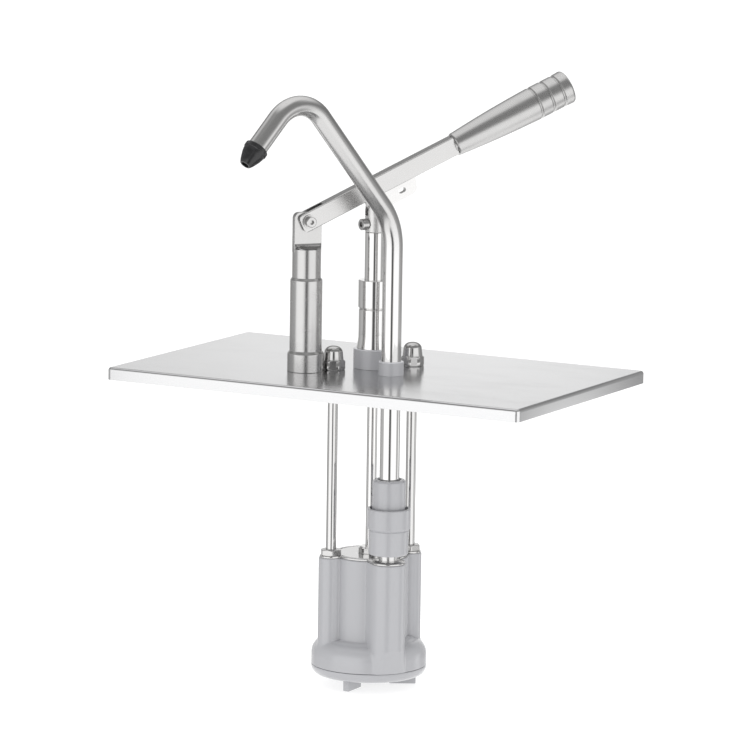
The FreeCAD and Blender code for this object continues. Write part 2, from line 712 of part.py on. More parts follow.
# --- spout -----------------------------------------------------------------------------------------------------
def spout_points():
    """Corner data of the centreline in the gooseneck's plane: reach and height above the lid's top face."""
    a1 = math.radians(bend1_a)
    dl = math.radians(drop_a)
    p0 = (0.0, bend_z)
    p1 = (bend1_r * (1 - math.cos(a1)), bend_z + bend1_r * math.sin(a1))
    m1 = (bend1_r * (1 - math.cos(a1 / 2)), bend_z + bend1_r * math.sin(a1 / 2))
    p2 = (p1[0] + mid_len * math.sin(a1), p1[1] + mid_len * math.cos(a1))
    end = math.pi / 2 + dl
    mid = (a1 + end) / 2
    m2 = (p2[0] + bend2_r * (math.cos(a1) - math.cos(mid)), p2[1] + bend2_r * (math.sin(mid) - math.sin(a1)))
    p3 = (p2[0] + bend2_r * (math.cos(a1) - math.cos(end)), p2[1] + bend2_r * (math.sin(end) - math.sin(a1)))
    p4 = (p3[0] + drop_len * math.cos(dl), p3[1] - drop_len * math.sin(dl))
    return p0, m1, p1, p2, m2, p3, p4


def spout_at(p):
    t = math.radians(spout_angle)
    return SPOUT + V(math.cos(t), math.sin(t), 0) * p[0] + UP * p[1]


def spout_line():
    p0, m1, p1, p2, m2, p3, p4 = [spout_at(p) for p in spout_points()]
    start = SPOUT + UP * tube_z0
    edges = [Part.makeLine(start, p0), Part.Arc(p0, m1, p1).toShape(), Part.makeLine(p1, p2),
             Part.Arc(p2, m2, p3).toShape(), Part.makeLine(p3, p4)]
    return Part.Wire(edges), start


def spout_tube():
    path, start = spout_line()
    solids = []
    for r in (tube_r, tube_r - tube_wall):
        ring = Part.Wire(Part.makeCircle(r, start, UP))
        solids.append(path.makePipeShell([ring], True, True))
    return solids[0].cut(solids[1])


def nozzle_tip():
    dl = math.radians(drop_a)
    t = math.radians(spout_angle)
    d = V(math.cos(t) * math.cos(dl), math.sin(t) * math.cos(dl), -math.sin(dl))
    end = spout_at(spout_points()[6])
    r_in = tube_r + snug
    lip = tube_r + 0.8
    step = tube_r - tube_wall - 0.35
    prof = [(r_in, -6.0), (lip, -6.0), (lip + 0.4, -5.6), (lip + 0.4, -3.4), (lip - 0.05, -2.9), (lip - 0.2, -1.6),
            (lip - 0.65, 0.2), (4.3, 4.4), (3.45, 5.9), (3.1, 6.4), (2.2, 6.4), (2.2, 2.4), (step, 0.3), (step, 0.05),
            (r_in, 0.05)]
    pts = [V(r, 0, z) for r, z in prof]
    tip = Part.Face(Part.makePolygon(pts + [pts[0]])).revolve(V(0, 0, 0), UP, 360)
    tip.Placement = FreeCAD.Placement(end, FreeCAD.Rotation(UP, d))
    return tip


def spout_ferrule():
    bore = tube_r + run_fit
    neck = tube_r + tube_hole - 0.1
    return turned(SPOUT, [(bore, -2.6), (neck - 0.25, -2.6), (neck + 0.4, -1.7), (neck + 0.4, -1.05), (neck, -1.02),
                          (neck, 0), (neck + 0.35, 0), (neck + 0.35, 7.0), (neck - 0.25, 8.0), (bore, 8.0)])


# --- coupling ----------------------------------------------------------------------------------------------------
def outlet_stub():
    z0 = body_top - 13.8
    z1 = -98.0
    return turned(SPOUT, [(3.4, z0), (stub_r, z0), (stub_r, z1), (3.5, z1), (3.4, z1 - 0.1)])


def coupling_lower():
    """Outer cup of the coupling: ball chamber below, tube and seal pocket above."""
    low_r = coup_lower_r - 0.3
    inner = tube_r + run_fit + sleeve_wall + run_fit
    outer = inner + coup_wall
    pocket = tube_r + 2 * seal_wire + 0.15
    return turned(SPOUT, [(stub_r + snug, coup_bottom), (low_r - 0.6, coup_bottom), (low_r, coup_bottom + 0.6),
                          (coup_lower_r, coup_seam), (coup_lower_r - 0.3, coup_seam + 0.3),
                          (coup_lower_r, coup_seam + 0.6), (coup_lower_r, coup_shoulder),
                          (outer, coup_shoulder + 0.7), (outer, coup_top - 0.8),
                          (outer - 0.75, coup_top), (inner + 1.45, coup_top), (inner + 1.45, coup_top - 2.4),
                          (inner, coup_top - 2.4), (inner, -84.2), (pocket, -84.2), (pocket, -89.4),
                          (5.3, -89.4), (5.3, -97.9), (stub_r + snug, -97.9)])


def coupling_sleeve():
    """Inner sleeve that screws into the cup and steadies the spout tube."""
    bore = tube_r + run_fit
    outer = bore + sleeve_wall
    return turned(SPOUT, [(bore, -84.1), (outer, -84.1), (outer, sleeve_top - 1.2), (outer - 1.0, sleeve_top),
                          (bore + 1.2, sleeve_top), (bore + 0.8, sleeve_top - 0.8), (bore, sleeve_top - 0.8)])


def ball_stop():
    return tube(SPOUT, -89.38, -88.5, tube_r + 2 * seal_wire + run_fit, 2.6)


def main():
    parts = {
        "lid_plate": lid_plate(),
        "fulcrum_post": fulcrum_post(),
        "post_bolt": post_bolt(),
        "post_washer": post_washer(),
        "lever_bar": lever_bar(),
        "lever_yoke": lever_yoke(),
        "handle_grip": handle_grip(),
        "handle_stud": handle_stud(),
        "clevis_fork": clevis_fork(),
        "fork_pin": fork_pin(),
        "fork_clip": fork_clip(),
        "fork_clamp_screw": fork_clamp_screw(),
        "plunger": plunger(),
        "piston_rod": piston_rod(),
        "piston": piston(),
        "piston_collar": piston_collar(),
        "piston_seal": piston_seal(),
        "piston_nut": piston_nut(),
        "guide_tube": guide_tube(),
        "guide_collar": guide_collar(),
        "guide_base": guide_base(),
        "guide_nut": guide_nut(),
        "return_spring": return_spring(),
        "pump_body": pump_body(),
        "body_cover": body_cover(),
        "rod_gland": rod_gland(),
        "base_cap": base_cap(),
        "cap_seal": o_ring(PUMP, chamber_floor - 2.75, spigot_r - 0.83, 0.82),
        "inlet_seat": inlet_seat(),
        "inlet_ball": ball(PUMP, seat_top, 7.5, seat_bore),
        "inlet_cage": inlet_cage(),
        "outlet_stub": outlet_stub(),
        "outlet_ball": ball(SPOUT, -98.0, 4.3, 3.5),
        "ball_stop": ball_stop(),
        "coupling_lower": coupling_lower(),
        "coupling_sleeve": coupling_sleeve(),
        "tube_seal": o_ring(SPOUT, -86.0, tube_r + seal_wire + 0.08, seal_wire),
        "spout_ferrule": spout_ferrule(),
        "spout_tube": spout_tube(),
        "nozzle_tip": nozzle_tip(),
    }
    parts.update(pivot_stack())
    parts.update(rod_set())
    os.makedirs("parts", exist_ok=True)
    for name in sorted(parts):
        shape = parts[name]
        if shape.ShapeType != "Solid" and len(shape.Solids) == 1:
            shape = shape.Solids[0]
        if not shape.isValid() or len(shape.Solids) != 1:
            print("CHECK", name, shape.isValid(), len(shape.Solids))
        shape.exportStep("parts/" + name + ".step")
        print(name, round(shape.Volume, 1))


main()
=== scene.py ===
"""Looks for a lever pump that stands on a quarter-size pan lid and doses sauce through a swivel spout.

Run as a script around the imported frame. Everything is in metres, in the frame's own axes."""

import json
import math

import bmesh
import bpy
import numpy as np
from bpy.props import FloatProperty, FloatVectorProperty, IntProperty, PointerProperty
from mathutils import Matrix, Vector


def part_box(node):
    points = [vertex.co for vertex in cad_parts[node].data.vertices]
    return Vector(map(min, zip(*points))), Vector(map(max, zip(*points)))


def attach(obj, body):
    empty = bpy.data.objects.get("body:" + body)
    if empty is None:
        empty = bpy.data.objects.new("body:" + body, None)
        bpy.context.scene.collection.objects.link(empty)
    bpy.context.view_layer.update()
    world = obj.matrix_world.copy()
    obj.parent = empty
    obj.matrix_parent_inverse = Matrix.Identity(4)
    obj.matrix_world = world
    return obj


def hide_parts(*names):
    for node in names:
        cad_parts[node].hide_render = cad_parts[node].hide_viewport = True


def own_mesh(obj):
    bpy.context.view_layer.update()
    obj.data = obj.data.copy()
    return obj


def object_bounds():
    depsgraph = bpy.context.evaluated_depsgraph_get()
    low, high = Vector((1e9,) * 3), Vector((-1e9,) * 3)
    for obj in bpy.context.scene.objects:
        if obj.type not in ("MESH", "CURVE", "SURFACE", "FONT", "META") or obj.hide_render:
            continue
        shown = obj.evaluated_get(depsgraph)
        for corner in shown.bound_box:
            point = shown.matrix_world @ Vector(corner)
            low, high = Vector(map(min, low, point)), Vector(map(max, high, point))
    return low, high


bl_info = {
    "name": "Condiment pump looks",
    "version": (1, 0, 0),
    "blender": (4, 5, 0),
    "location": "3D View > Sidebar > Condiment pump",
    "description": "Surfaces and finishes of a lid-mounted lever pump with a swivel spout",
    "category": "Object",
}

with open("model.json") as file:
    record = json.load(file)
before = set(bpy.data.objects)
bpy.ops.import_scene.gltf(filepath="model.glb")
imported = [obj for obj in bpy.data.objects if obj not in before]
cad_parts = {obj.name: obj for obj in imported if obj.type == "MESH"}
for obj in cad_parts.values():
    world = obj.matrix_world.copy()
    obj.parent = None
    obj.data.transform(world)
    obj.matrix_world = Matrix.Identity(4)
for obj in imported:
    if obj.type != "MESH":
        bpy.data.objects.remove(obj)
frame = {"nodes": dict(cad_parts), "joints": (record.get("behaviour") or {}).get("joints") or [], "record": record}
CAD_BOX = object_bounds()

MM = 0.001
NODES = frame["nodes"]
JOINTS = {j["name"]: j for j in frame["joints"]}
MOUNTS = {m["name"]: m for m in frame["record"]["mounts"]}
LID_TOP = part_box("lid_plate")[1].z

PIVOT = Vector(JOINTS["lever_pivot"]["pos_m"])
SIDE = Vector(JOINTS["lever_pivot"]["axis"]).normalized()
ALONG = Vector((SIDE.y, -SIDE.x, 0.0))
PUMP = Vector(MOUNTS["inlet_bore"]["pos_m"][:2] + [LID_TOP])
SPOUT = Vector(JOINTS["spout_swivel"]["pos_m"][:2] + [LID_TOP])
POST = Vector((PIVOT.x, PIVOT.y, LID_TOP))
ROD_REACH = 24.5 * MM
LEVER_RISE = math.radians(24.5)
SPOUT_HEADING = math.radians(250.0)
UP = Vector((0.0, 0.0, 1.0))


# --- sizes and colours a user may change ---
class PumpSizes(bpy.types.PropertyGroup):
    """Sizes of the pump's own pieces."""

    sheet: FloatProperty(name="Lid sheet", description="Thickness of the lid's sheet steel",
                         default=1.0 * MM, unit="LENGTH")
    lid_bend: FloatProperty(name="Lid bend", description="Outside radius of the lid's folded edge",
                            default=1.7 * MM, unit="LENGTH")
    lid_corner: FloatProperty(name="Lid corner", description="Radius of the lid's ground corners",
                              default=2.6 * MM, unit="LENGTH")
    post_radius: FloatProperty(name="Post", description="Radius of the lever post's barrel",
                               default=9.3 * MM, unit="LENGTH")
    tube_radius: FloatProperty(name="Spout tube", description="Outside radius of the spout tube",
                               default=5.75 * MM, unit="LENGTH")
    tube_wall: FloatProperty(name="Spout wall", description="Wall of the spout tube",
                             default=1.0 * MM, unit="LENGTH")
    rod_radius: FloatProperty(name="Tie rod", description="Radius of the tie rods and the piston rod",
                              default=3.0 * MM, unit="LENGTH")
    wire_radius: FloatProperty(name="Spring wire", description="Radius of the return spring's wire",
                               default=0.6 * MM, unit="LENGTH")
    spring_turns: IntProperty(name="Spring turns", description="Turns of the return spring",
                              default=12, min=3)


class PumpFinishes(bpy.types.PropertyGroup):
    """Colours and wear of the pump's finishes."""

    steel: FloatVectorProperty(name="Steel", description="Colour of bare stainless steel", subtype="COLOR",
                               size=3, default=(0.63, 0.625, 0.62), min=0, max=1)
    lid_steel: FloatVectorProperty(name="Lid steel", description="Colour of the lid's sheet",
                                   subtype="COLOR", size=3, default=(0.655, 0.655, 0.66), min=0, max=1)
    plastic: FloatVectorProperty(name="Grey plastic", description="Colour of the moulded pump parts",
                                 subtype="COLOR", size=3, default=(0.418, 0.42, 0.438), min=0, max=1)
    rubber: FloatVectorProperty(name="Rubber", description="Colour of the nozzle and the seals",
                                subtype="COLOR", size=3, default=(0.010, 0.010, 0.011), min=0, max=1)
    wear: FloatProperty(name="Wear", description="Smudges and fine scratches", subtype="FACTOR",
                        default=0.5, min=0, max=1)


class PumpStudio(bpy.types.PropertyGroup):
    """Camera and light."""

    yaw: FloatProperty(name="Yaw", description="How far the camera is turned round the pump",
                       default=0.49403, subtype="ANGLE", unit="ROTATION")
    pitch: FloatProperty(name="Pitch", description="How far the camera looks down",
                         default=0.162098, subtype="ANGLE", unit="ROTATION")
    roll: FloatProperty(name="Roll", description="How far the camera leans",
                        default=0.0148366, subtype="ANGLE", unit="ROTATION")
    distance: FloatProperty(name="Distance", description="From the lid's middle to the camera",
                            default=2.8801, unit="LENGTH")
    lens: FloatProperty(name="Lens", description="Focal length on a 36 mm sensor, in millimetres",
                        default=240.0)
    tent: FloatProperty(name="Tent", description="Radius of the light tent", default=0.6, unit="LENGTH")
    room: FloatProperty(name="Room", description="Tone of the room that lights the dull surfaces",
                        default=1.15)
    top_light: FloatProperty(name="Top light", description="Power of the lamp overhead, in watts",
                             default=7.0)
    floor_glow: FloatProperty(name="Floor glow", description="Light that the floor gives by itself",
                              default=0.72)
    floor: FloatVectorProperty(name="Floor", description="Colour of the floor", subtype="COLOR", size=3,
                               default=(0.40, 0.40, 0.40), min=0, max=1)


def sizes():
    return bpy.context.scene.pump_sizes


def finishes():
    return bpy.context.scene.pump_finishes


def studio():
    return bpy.context.scene.pump_studio


# --- places ---
class Axis:
    """A piece's own axis: where it starts, its direction and two directions square to it."""

    def __init__(self, start, direction=UP, across=None):
        d = Vector(direction).normalized()
        if across is None:
            across = Vector((1.0, 0.0, 0.0)) if abs(d.z) > 0.9 else UP
        a = (Vector(across) - d * d.dot(Vector(across))).normalized()
        self.start, self.d, self.a = Vector(start), d, a
        self.b = d.cross(a)

    def place(self, a, b, h):
        """Point = start + a * across + b * third direction + h * axis, for whole arrays."""
        a, b, h = np.broadcast_arrays(a, b, h)
        s, u, v, w = (np.array(x) for x in (self.start, self.a, self.b, self.d))
        return s + a[..., None] * u + b[..., None] * v + h[..., None] * w

    def turn(self):
        """The axis as a rotation whose third direction is the axis."""
        return Matrix((self.a, self.b, self.d)).transposed().to_euler()


def lever_point(along, above, side=0.0):
    """A point in the lever's own directions at rest, in millimetres: along its bar, above it, beside it."""
    u = ALONG * math.cos(LEVER_RISE) + UP * math.sin(LEVER_RISE)
    w = UP * math.cos(LEVER_RISE) - ALONG * math.sin(LEVER_RISE)
    return PIVOT + (u * along + w * above + SIDE * side) * MM


def rod_foot(name):
    return PUMP + ALONG * (ROD_REACH if name == "right" else -ROD_REACH)


PUMP_AXIS = Axis(PUMP)
SPOUT_AXIS = Axis(SPOUT)
POST_AXIS = Axis(POST)
LEVER_AXIS = Axis(PIVOT, lever_point(1, 0) - lever_point(0, 0), SIDE)


# --- surfaces ---
def eased(corners, ease=0.3, steps=4, closed=False):
    """Profile through corner points (radius, height, own ease), in millimetres, with every corner eased.
    An eased corner is the quadratic curve whose ends lie `ease` from the corner on its two sides, with one
    more point past each end, so that the flats beside it stay flat. Gives an array in metres."""
    pts = [np.array(c[:2], float) for c in corners]
    own = [c[2] if len(c) > 2 else ease for c in corners]
    out = []
    n = len(pts)
    for i, (b, e) in enumerate(zip(pts, own)):
        if not closed and i in (0, n - 1) or e <= 0:
            out.append(b)
            continue
        a, c = pts[i - 1], pts[(i + 1) % n]
        la, lc = np.linalg.norm(a - b), np.linalg.norm(c - b)
        u, v = (a - b) / la, (c - b) / lc
        e = min(e, 0.4 * la, 0.4 * lc)
        t = np.linspace(0.0, 1.0, steps + 1)[:, None]
        curve = (1 - t) ** 2 * (b + u * e) + 2 * t * (1 - t) * b + t ** 2 * (b + v * e)
        out += [b + u * e * 1.2, *curve, b + v * e * 1.2]
    return np.array(out) * MM


def round_angles(around, start=0.0):
    return start + np.linspace(0.0, 2 * math.pi, around, endpoint=False)


def turned(axis, profile, around=96):
    """Turned surface: profile point (radius, height) goes round the axis as
    (radius cos t, radius sin t, height)."""
    t = round_angles(around)[None, :]
    r, h = profile[:, :1], profile[:, 1:]
    return axis.place(r * np.cos(t), r * np.sin(t), h + 0 * t)


def hexed(axis, profile, flats, turn=0.0, around=120, crisp=46.0):
    """Nut surface: at each angle the radius is the softened smaller of the turned profile's radius and the
    hexagon's. The hexagon's radius is half the width across flats over the largest cosine of the angle from
    a flat's middle, and both are joined by a power mean whose power sets how crisp the edges are."""
    t = round_angles(around, math.radians(turn))[None, :]
    middles = math.radians(turn + 30.0) + np.arange(6) * math.pi / 3
    facing = np.clip(np.cos(t[..., None] - middles), 0.0, None)
    hexagon = flats * MM / 2 / np.sum(facing ** crisp, axis=-1) ** (1 / crisp)
    r, h = profile[:, :1], profile[:, 1:]
    r = r * (1 + (r / hexagon) ** crisp) ** (-1 / crisp)
    return axis.place(r * np.cos(t), r * np.sin(t), h + 0 * t)


def slab(axis, outline, half, ease=0.3, steps=4):
    """Flat piece with a convex outline, given as points (across, third direction) in millimetres. Its rows
    run from the middle of one face out over the eased edge, across the thickness and in to the middle of
    the other: the outline shrinks towards its middle by the ease times one minus sine, while the height
    gains the ease times cosine."""
    p = np.array(outline, float)
    mid = p.mean(0)
    out = p - mid
    unit = out / np.linalg.norm(out, axis=1, keepdims=True)
    q = np.linspace(0.0, math.pi / 2, steps + 1)
    inset = np.concatenate([[ease * 1.3], ease * (1 - np.sin(q))])
    height = np.concatenate([[half], half - ease * (1 - np.cos(q))])
    inset = np.concatenate([inset, inset[::-1]])[:, None, None]
    height = np.concatenate([height, -height[::-1]])[:, None]
    rows = out[None] - unit[None] * inset
    rows = np.concatenate([0 * rows[:1], rows, 0 * rows[:1]]) + mid
    height = np.concatenate([height[:1], height, height[-1:]])
    return axis.place(rows[..., 0] * MM, rows[..., 1] * MM, height * MM)


def swept(centres, across, radii, around=48):
    """Tube along a flat path: each centre point carries a circle that lies square to the path, as
    centre + radius (cos t * in-plane normal + sin t * plane normal)."""
    step = np.gradient(centres, axis=0)
    step /= np.linalg.norm(step, axis=1, keepdims=True)
    side = np.array(across)
    normal = np.cross(side, step)
    t = round_angles(around)[None, :, None]
    r = np.array(radii)[:, None, None]
    return centres[:, None, :] + r * (np.cos(t) * normal[:, None, :] + np.sin(t) * side)


def rounded_box_outline(length, width, corner, steps=7):
    """Corner points of a rectangle with round corners, as (x, y) for unit growth: each quarter turn about a
    corner's centre. Gives the centres and the unit directions, so that an inset outline is
    centre + reach * unit."""
    quarter = np.linspace(0.0, math.pi / 2, steps)
    centres, units = [], []
    for k, (sx, sy) in enumerate(((1, 1), (-1, 1), (-1, -1), (1, -1))):
        t = quarter + k * math.pi / 2
        centres.append(np.tile([sx * (length / 2 - corner), sy * (width / 2 - corner)], (steps, 1)))
        units.append(np.stack([np.cos(t), np.sin(t)], 1))
    return np.concatenate(centres), np.concatenate(units)


def grid_faces(rows, cols, loop=False):
    """Faces of a grid of points that is closed round its columns: corner (row, column) makes a four-sided
    face with the next row and the next column."""
    a = np.arange(rows if loop else rows - 1)[:, None]
    b = np.arange(cols)[None, :]
    a2, b2 = (a + 1) % rows, (b + 1) % cols
    corners = (a * cols + b, a * cols + b2, a2 * cols + b2, a2 * cols + b)
    return np.stack(np.broadcast_arrays(*corners), -1).reshape(-1, 4)


def make_piece(name, grids, finish, body, stands_for, loops=False):
    """Joins grids of points into one mesh piece that rides on a body. loops says, for all grids or for each,
    whether the last row closes on the first."""
    points, faces, start = [], [], 0
    for i, grid in enumerate(grids):
        rows, cols = grid.shape[:2]
        loop = loops[i] if isinstance(loops, (list, tuple)) else loops
        points.append(grid.reshape(-1, 3))
        faces.append(grid_faces(rows, cols, loop) + start)
        start += rows * cols
    mesh = bpy.data.meshes.new(name)
    mesh.from_pydata(np.concatenate(points).tolist(), [], np.concatenate(faces).tolist())
    work = bmesh.new()
    work.from_mesh(mesh)
    bmesh.ops.remove_doubles(work, verts=work.verts, dist=1e-6)
    bmesh.ops.recalc_face_normals(work, faces=work.faces)
    work.to_mesh(mesh)
    work.free()
    mesh.shade_smooth()
    mesh.materials.append(finish)
    piece = bpy.data.objects.new(name, mesh)
    bpy.context.scene.collection.objects.link(piece)
    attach(piece, body)
    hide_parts(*stands_for)
    return piece


def turned_piece(name, axis, corners, finish, body, node, around=96, closed=False, ease=0.3):
    """One turned piece from its profile's corners, in millimetres. A closed profile makes a ring."""
    grid = turned(axis, eased(corners, ease, closed=closed), around)
    return make_piece(name, [grid], finish, body, [node], closed)


def coat_node(node, finish):
    """Gives a CAD node its finish and leaves its mesh alone."""
    mesh = NODES[node].data
    mesh.materials.clear()
    mesh.materials.append(finish)


# --- finishes ---
class Value:
    """A number worked out by the shader. Arithmetic on it adds Math nodes to its finish."""

    def __init__(self, finish, socket):
        self.finish, self.socket = finish, socket

    def _maths(self, operation, *terms):
        return self.finish.node("ShaderNodeMath", {"operation": operation}, dict(enumerate(terms)))

    def __add__(self, other):
        return self._maths("ADD", self, other)

    __radd__ = __add__

    def __sub__(self, other):
        return self._maths("SUBTRACT", self, other)

    def __rsub__(self, other):
        return self._maths("SUBTRACT", other, self)

    def __mul__(self, other):
        return self._maths("MULTIPLY", self, other)

    __rmul__ = __mul__

    def __pow__(self, other):
        return self._maths("POWER", self, other)

    def clipped(self, low, high):
        """Smooth step from 0 at `low` to 1 at `high`."""
        return self.finish.node("ShaderNodeMapRange", {"interpolation_type": "SMOOTHSTEP"},
                                {0: self, 1: low, 2: high})


class Finish:
    """A material under construction: its node tree and its main shader."""

    def __init__(self, tree):
        self.tree = tree

    def node(self, kind, settings=None, inputs=None, output=0):
        """Adds a node of a type, gives it its settings, then the values or links of its sockets."""
        made = self.tree.nodes.new(kind)
        for key, value in (settings or {}).items():
            if key == "stops":
                ramp = made.color_ramp
                while len(ramp.elements) < len(value):
                    ramp.elements.new(1.0)
                for element, (place, colour) in zip(ramp.elements, value):
                    element.position, element.color = place, colour
            else:
                setattr(made, key, value)
        for key, value in (inputs or {}).items():
            if isinstance(value, Value):
                self.tree.links.new(value.socket, made.inputs[key])
            else:
                made.inputs[key].default_value = value
        return Value(self, made.outputs[output])

    def local(self, axis):
        """Object coordinates seen from a piece's axis, which becomes their third direction."""
        where = self.node("ShaderNodeTexCoord", output="Object")
        return self.node("ShaderNodeMapping", {"vector_type": "TEXTURE"},
                         {0: where, 1: axis.start, 2: axis.turn()})

    def parts(self, vector):
        """The three numbers of a vector."""
        first = self.node("ShaderNodeSeparateXYZ", inputs={0: vector})
        outs = first.socket.node.outputs
        return tuple(Value(self, o) for o in outs)

    def vector(self, x, y, z):
        return self.node("ShaderNodeCombineXYZ", inputs={0: x, 1: y, 2: z})

    def stretched(self, vector, x, y, z):
        return self.node("ShaderNodeVectorMath", {"operation": "MULTIPLY"}, {0: vector, 1: (x, y, z)})

    def noise(self, vector, scale, detail=3.0, rough=0.55):
        return self.node("ShaderNodeTexNoise", inputs={"Vector": vector, "Scale": scale, "Detail": detail,
                                                       "Roughness": rough})

    def blend(self, share, first, second):
        """Colour that goes from the first to the second as share goes from 0 to 1."""
        return self.node("ShaderNodeMix", {"data_type": "RGBA"}, {0: share, 6: first, 7: second}, 2)

    def bump(self, height, depth, strength=1.0, after=None):
        inputs = {"Height": height, "Distance": depth, "Strength": strength}
        if after is not None:
            inputs["Normal"] = after
        return self.node("ShaderNodeBump", inputs=inputs)

    def feed(self, **values):
        """Sets or links the main shader's sockets, named with underscores for spaces."""
        shader = self.tree.nodes["Principled BSDF"]
        for key, value in values.items():
            socket = shader.inputs[key.replace("_", " ")]
            if isinstance(value, Value):
                self.tree.links.new(value.socket, socket)
            else:
                socket.default_value = value


def new_finish(name):
    material = bpy.data.materials.new(name)
    material.use_nodes = True
    return material, Finish(material.node_tree)


def shade(colour, factor):
    return tuple(min(1.0, c * factor) for c in colour) + (1.0,)


def steel_tones(f, share, low, high):
    """Colour between two tones of the bare steel."""
    return f.blend(share, shade(finishes().steel, low), shade(finishes().steel, high))


def lathe_steel(name, axis, roughness, groove, pitch, tone=1.0, patch=0.10):
    """Turned stainless steel: fine rings round the axis from noise in the axis and the radius alone, a sandy
    grain over them, and soft handling marks in the roughness."""
    material, f = new_finish(name)
    p = f.local(axis)
    x, y, z = f.parts(p)
    radius = (x * x + y * y) ** 0.5
    rings = f.noise(f.vector(radius, 0.0, z), 1.0 / pitch, 4.0, 0.7)
    sand = f.noise(p, 2200.0, 2.0, 0.7)
    marks = f.noise(p, 130.0, 4.0, 0.6)
    wear = finishes().wear
    colour = steel_tones(f, sand.clipped(0.25, 0.75) * 0.6 + rings * 0.4, 0.95 * tone, 1.05 * tone)
    rough = (roughness + (rings - 0.5) * 0.06 + (sand - 0.5) * 0.08
             + marks.clipped(0.45, 0.75) * (patch * wear))
    fine = f.bump(sand, 0.009 * MM, 0.5, f.bump(rings, groove * MM, 0.5))
    f.feed(Base_Color=colour, Metallic=1.0, Roughness=rough, Normal=fine)
    return material


def drawn_steel(name, axis, roughness, tone=1.0, depth=0.004):
    """Drawn bar or tube: faint lines along the axis, slow waves in the polish and a few smudges."""
    material, f = new_finish(name)
    p = f.local(axis)
    lines = f.noise(f.stretched(p, 900.0, 900.0, 22.0), 1.0, 4.0, 0.65)
    slow = f.noise(f.stretched(p, 90.0, 90.0, 26.0), 1.0, 2.0)
    smudge = f.noise(p, 85.0, 5.0, 0.6)
    wear = finishes().wear
    colour = steel_tones(f, lines * 0.6 + slow * 0.4, 0.95 * tone, 1.05 * tone)
    rough = roughness + (lines - 0.5) * 0.05 + smudge.clipped(0.5, 0.8) * (0.07 * wear)
    f.feed(Base_Color=colour, Metallic=1.0, Roughness=rough,
           Normal=f.bump(lines, depth * MM, 0.5, f.bump(slow, 0.01 * MM, 0.35)))
    return material


def spout_steel():
    """Bent tube: polished on its upright run, and brushed to a satin above it, where it was bent and ground.
    The change follows the height; the brush marks run with the tube's own grain."""
    material, f = new_finish("spout steel")
    p = f.local(SPOUT_AXIS)
    height = f.parts(p)[2]
    brushed = height.clipped(58.0 * MM, 96.0 * MM)
    lines = f.noise(f.stretched(p, 800.0, 800.0, 60.0), 1.0, 4.0, 0.65)
    sand = f.noise(p, 1900.0, 3.0, 0.6)
    smudge = f.noise(p, 70.0, 5.0, 0.6)
    polished = steel_tones(f, lines * 0.5 + sand * 0.5, 1.14, 1.24)
    colour = f.blend(brushed, polished, steel_tones(f, sand, 0.84, 0.93))
    rough = (0.07 + brushed * 0.15 + (lines - 0.5) * 0.05
             + smudge.clipped(0.5, 0.8) * (0.06 * finishes().wear))
    f.feed(Base_Color=colour, Metallic=1.0, Roughness=rough,
           Normal=f.bump(lines + brushed * sand, 0.002 * MM, 0.5))
    return material


def sheet_steel():
    """Cold-rolled lid sheet: a fine grain along the lid, slow waves of the rolled sheet, wiping marks."""
    material, f = new_finish("lid sheet steel")
    p = f.node("ShaderNodeTexCoord", output="Object")
    grain = f.noise(f.stretched(p, 60.0, 2600.0, 2600.0), 1.0, 3.0, 0.7)
    wave = f.noise(f.stretched(p, 9.0, 14.0, 14.0), 1.0, 1.0)
    wipe = f.noise(f.stretched(p, 16.0, 46.0, 46.0), 1.0, 5.0, 0.62)
    pores = f.noise(p, 1500.0, 2.0)
    wear = finishes().wear
    colour = f.blend(grain * 0.5 + wipe * 0.5, shade(finishes().lid_steel, 0.95),
                     shade(finishes().lid_steel, 1.04))
    rough = 0.17 + (grain - 0.5) * 0.05 + wipe.clipped(0.42, 0.72) * (0.06 * wear) + pores * 0.03
    f.feed(Base_Color=colour, Metallic=1.0, Roughness=rough,
           Normal=f.bump(grain, 0.0012 * MM, 0.35, f.bump(wave, 0.12 * MM, 0.25)))
    return material


def fastener_steel(name, axis, roughness=0.24, tone=0.95):
    """Machined fastener: close tool marks across its faces and slightly darker stains."""
    material, f = new_finish(name)
    p = f.local(axis)
    x, y, z = f.parts(p)
    rings = f.noise(f.vector((x * x + y * y) ** 0.5, 0.0, z), 5200.0, 3.0, 0.6)
    stain = f.noise(p, 260.0, 4.0, 0.6)
    colour = steel_tones(f, stain, 0.86 * tone, 1.04 * tone)
    f.feed(Base_Color=colour, Metallic=1.0, Roughness=roughness + (rings - 0.5) * 0.10 + stain * 0.06,
           Normal=f.bump(rings, 0.01 * MM, 0.5))
    return material


def moulded_plastic(name, colour, roughness=0.2, flow=1.0):
    """Injection-moulded plastic: a fine spark-eroded grain, faint flow lines and a few scuffs."""
    material, f = new_finish(name)
    p = f.node("ShaderNodeTexCoord", output="Object")
    grain = f.noise(p, 2400.0, 3.0, 0.6)
    cloud = f.noise(f.stretched(p, 38.0, 38.0, 14.0), 1.0, 4.0, 0.55)
    scuff = f.noise(f.stretched(p, 120.0, 120.0, 620.0), 1.0, 4.0, 0.7)
    wear = finishes().wear
    tint = f.blend(cloud, shade(colour, 1 - 0.035 * flow), shade(colour, 1 + 0.035 * flow))
    tint = f.blend(scuff.clipped(0.62, 0.8) * (0.25 * wear), tint, shade(colour, 1.12))
    rough = (roughness + (cloud - 0.5) * 0.06 + (grain - 0.5) * 0.05
             + scuff.clipped(0.58, 0.75) * (0.08 * wear))
    f.feed(Base_Color=tint, Roughness=rough, Specular_IOR_Level=0.75,
           Normal=f.bump(grain, 0.002 * MM, 0.5, f.bump(cloud, 0.02 * MM, 0.25)))
    return material


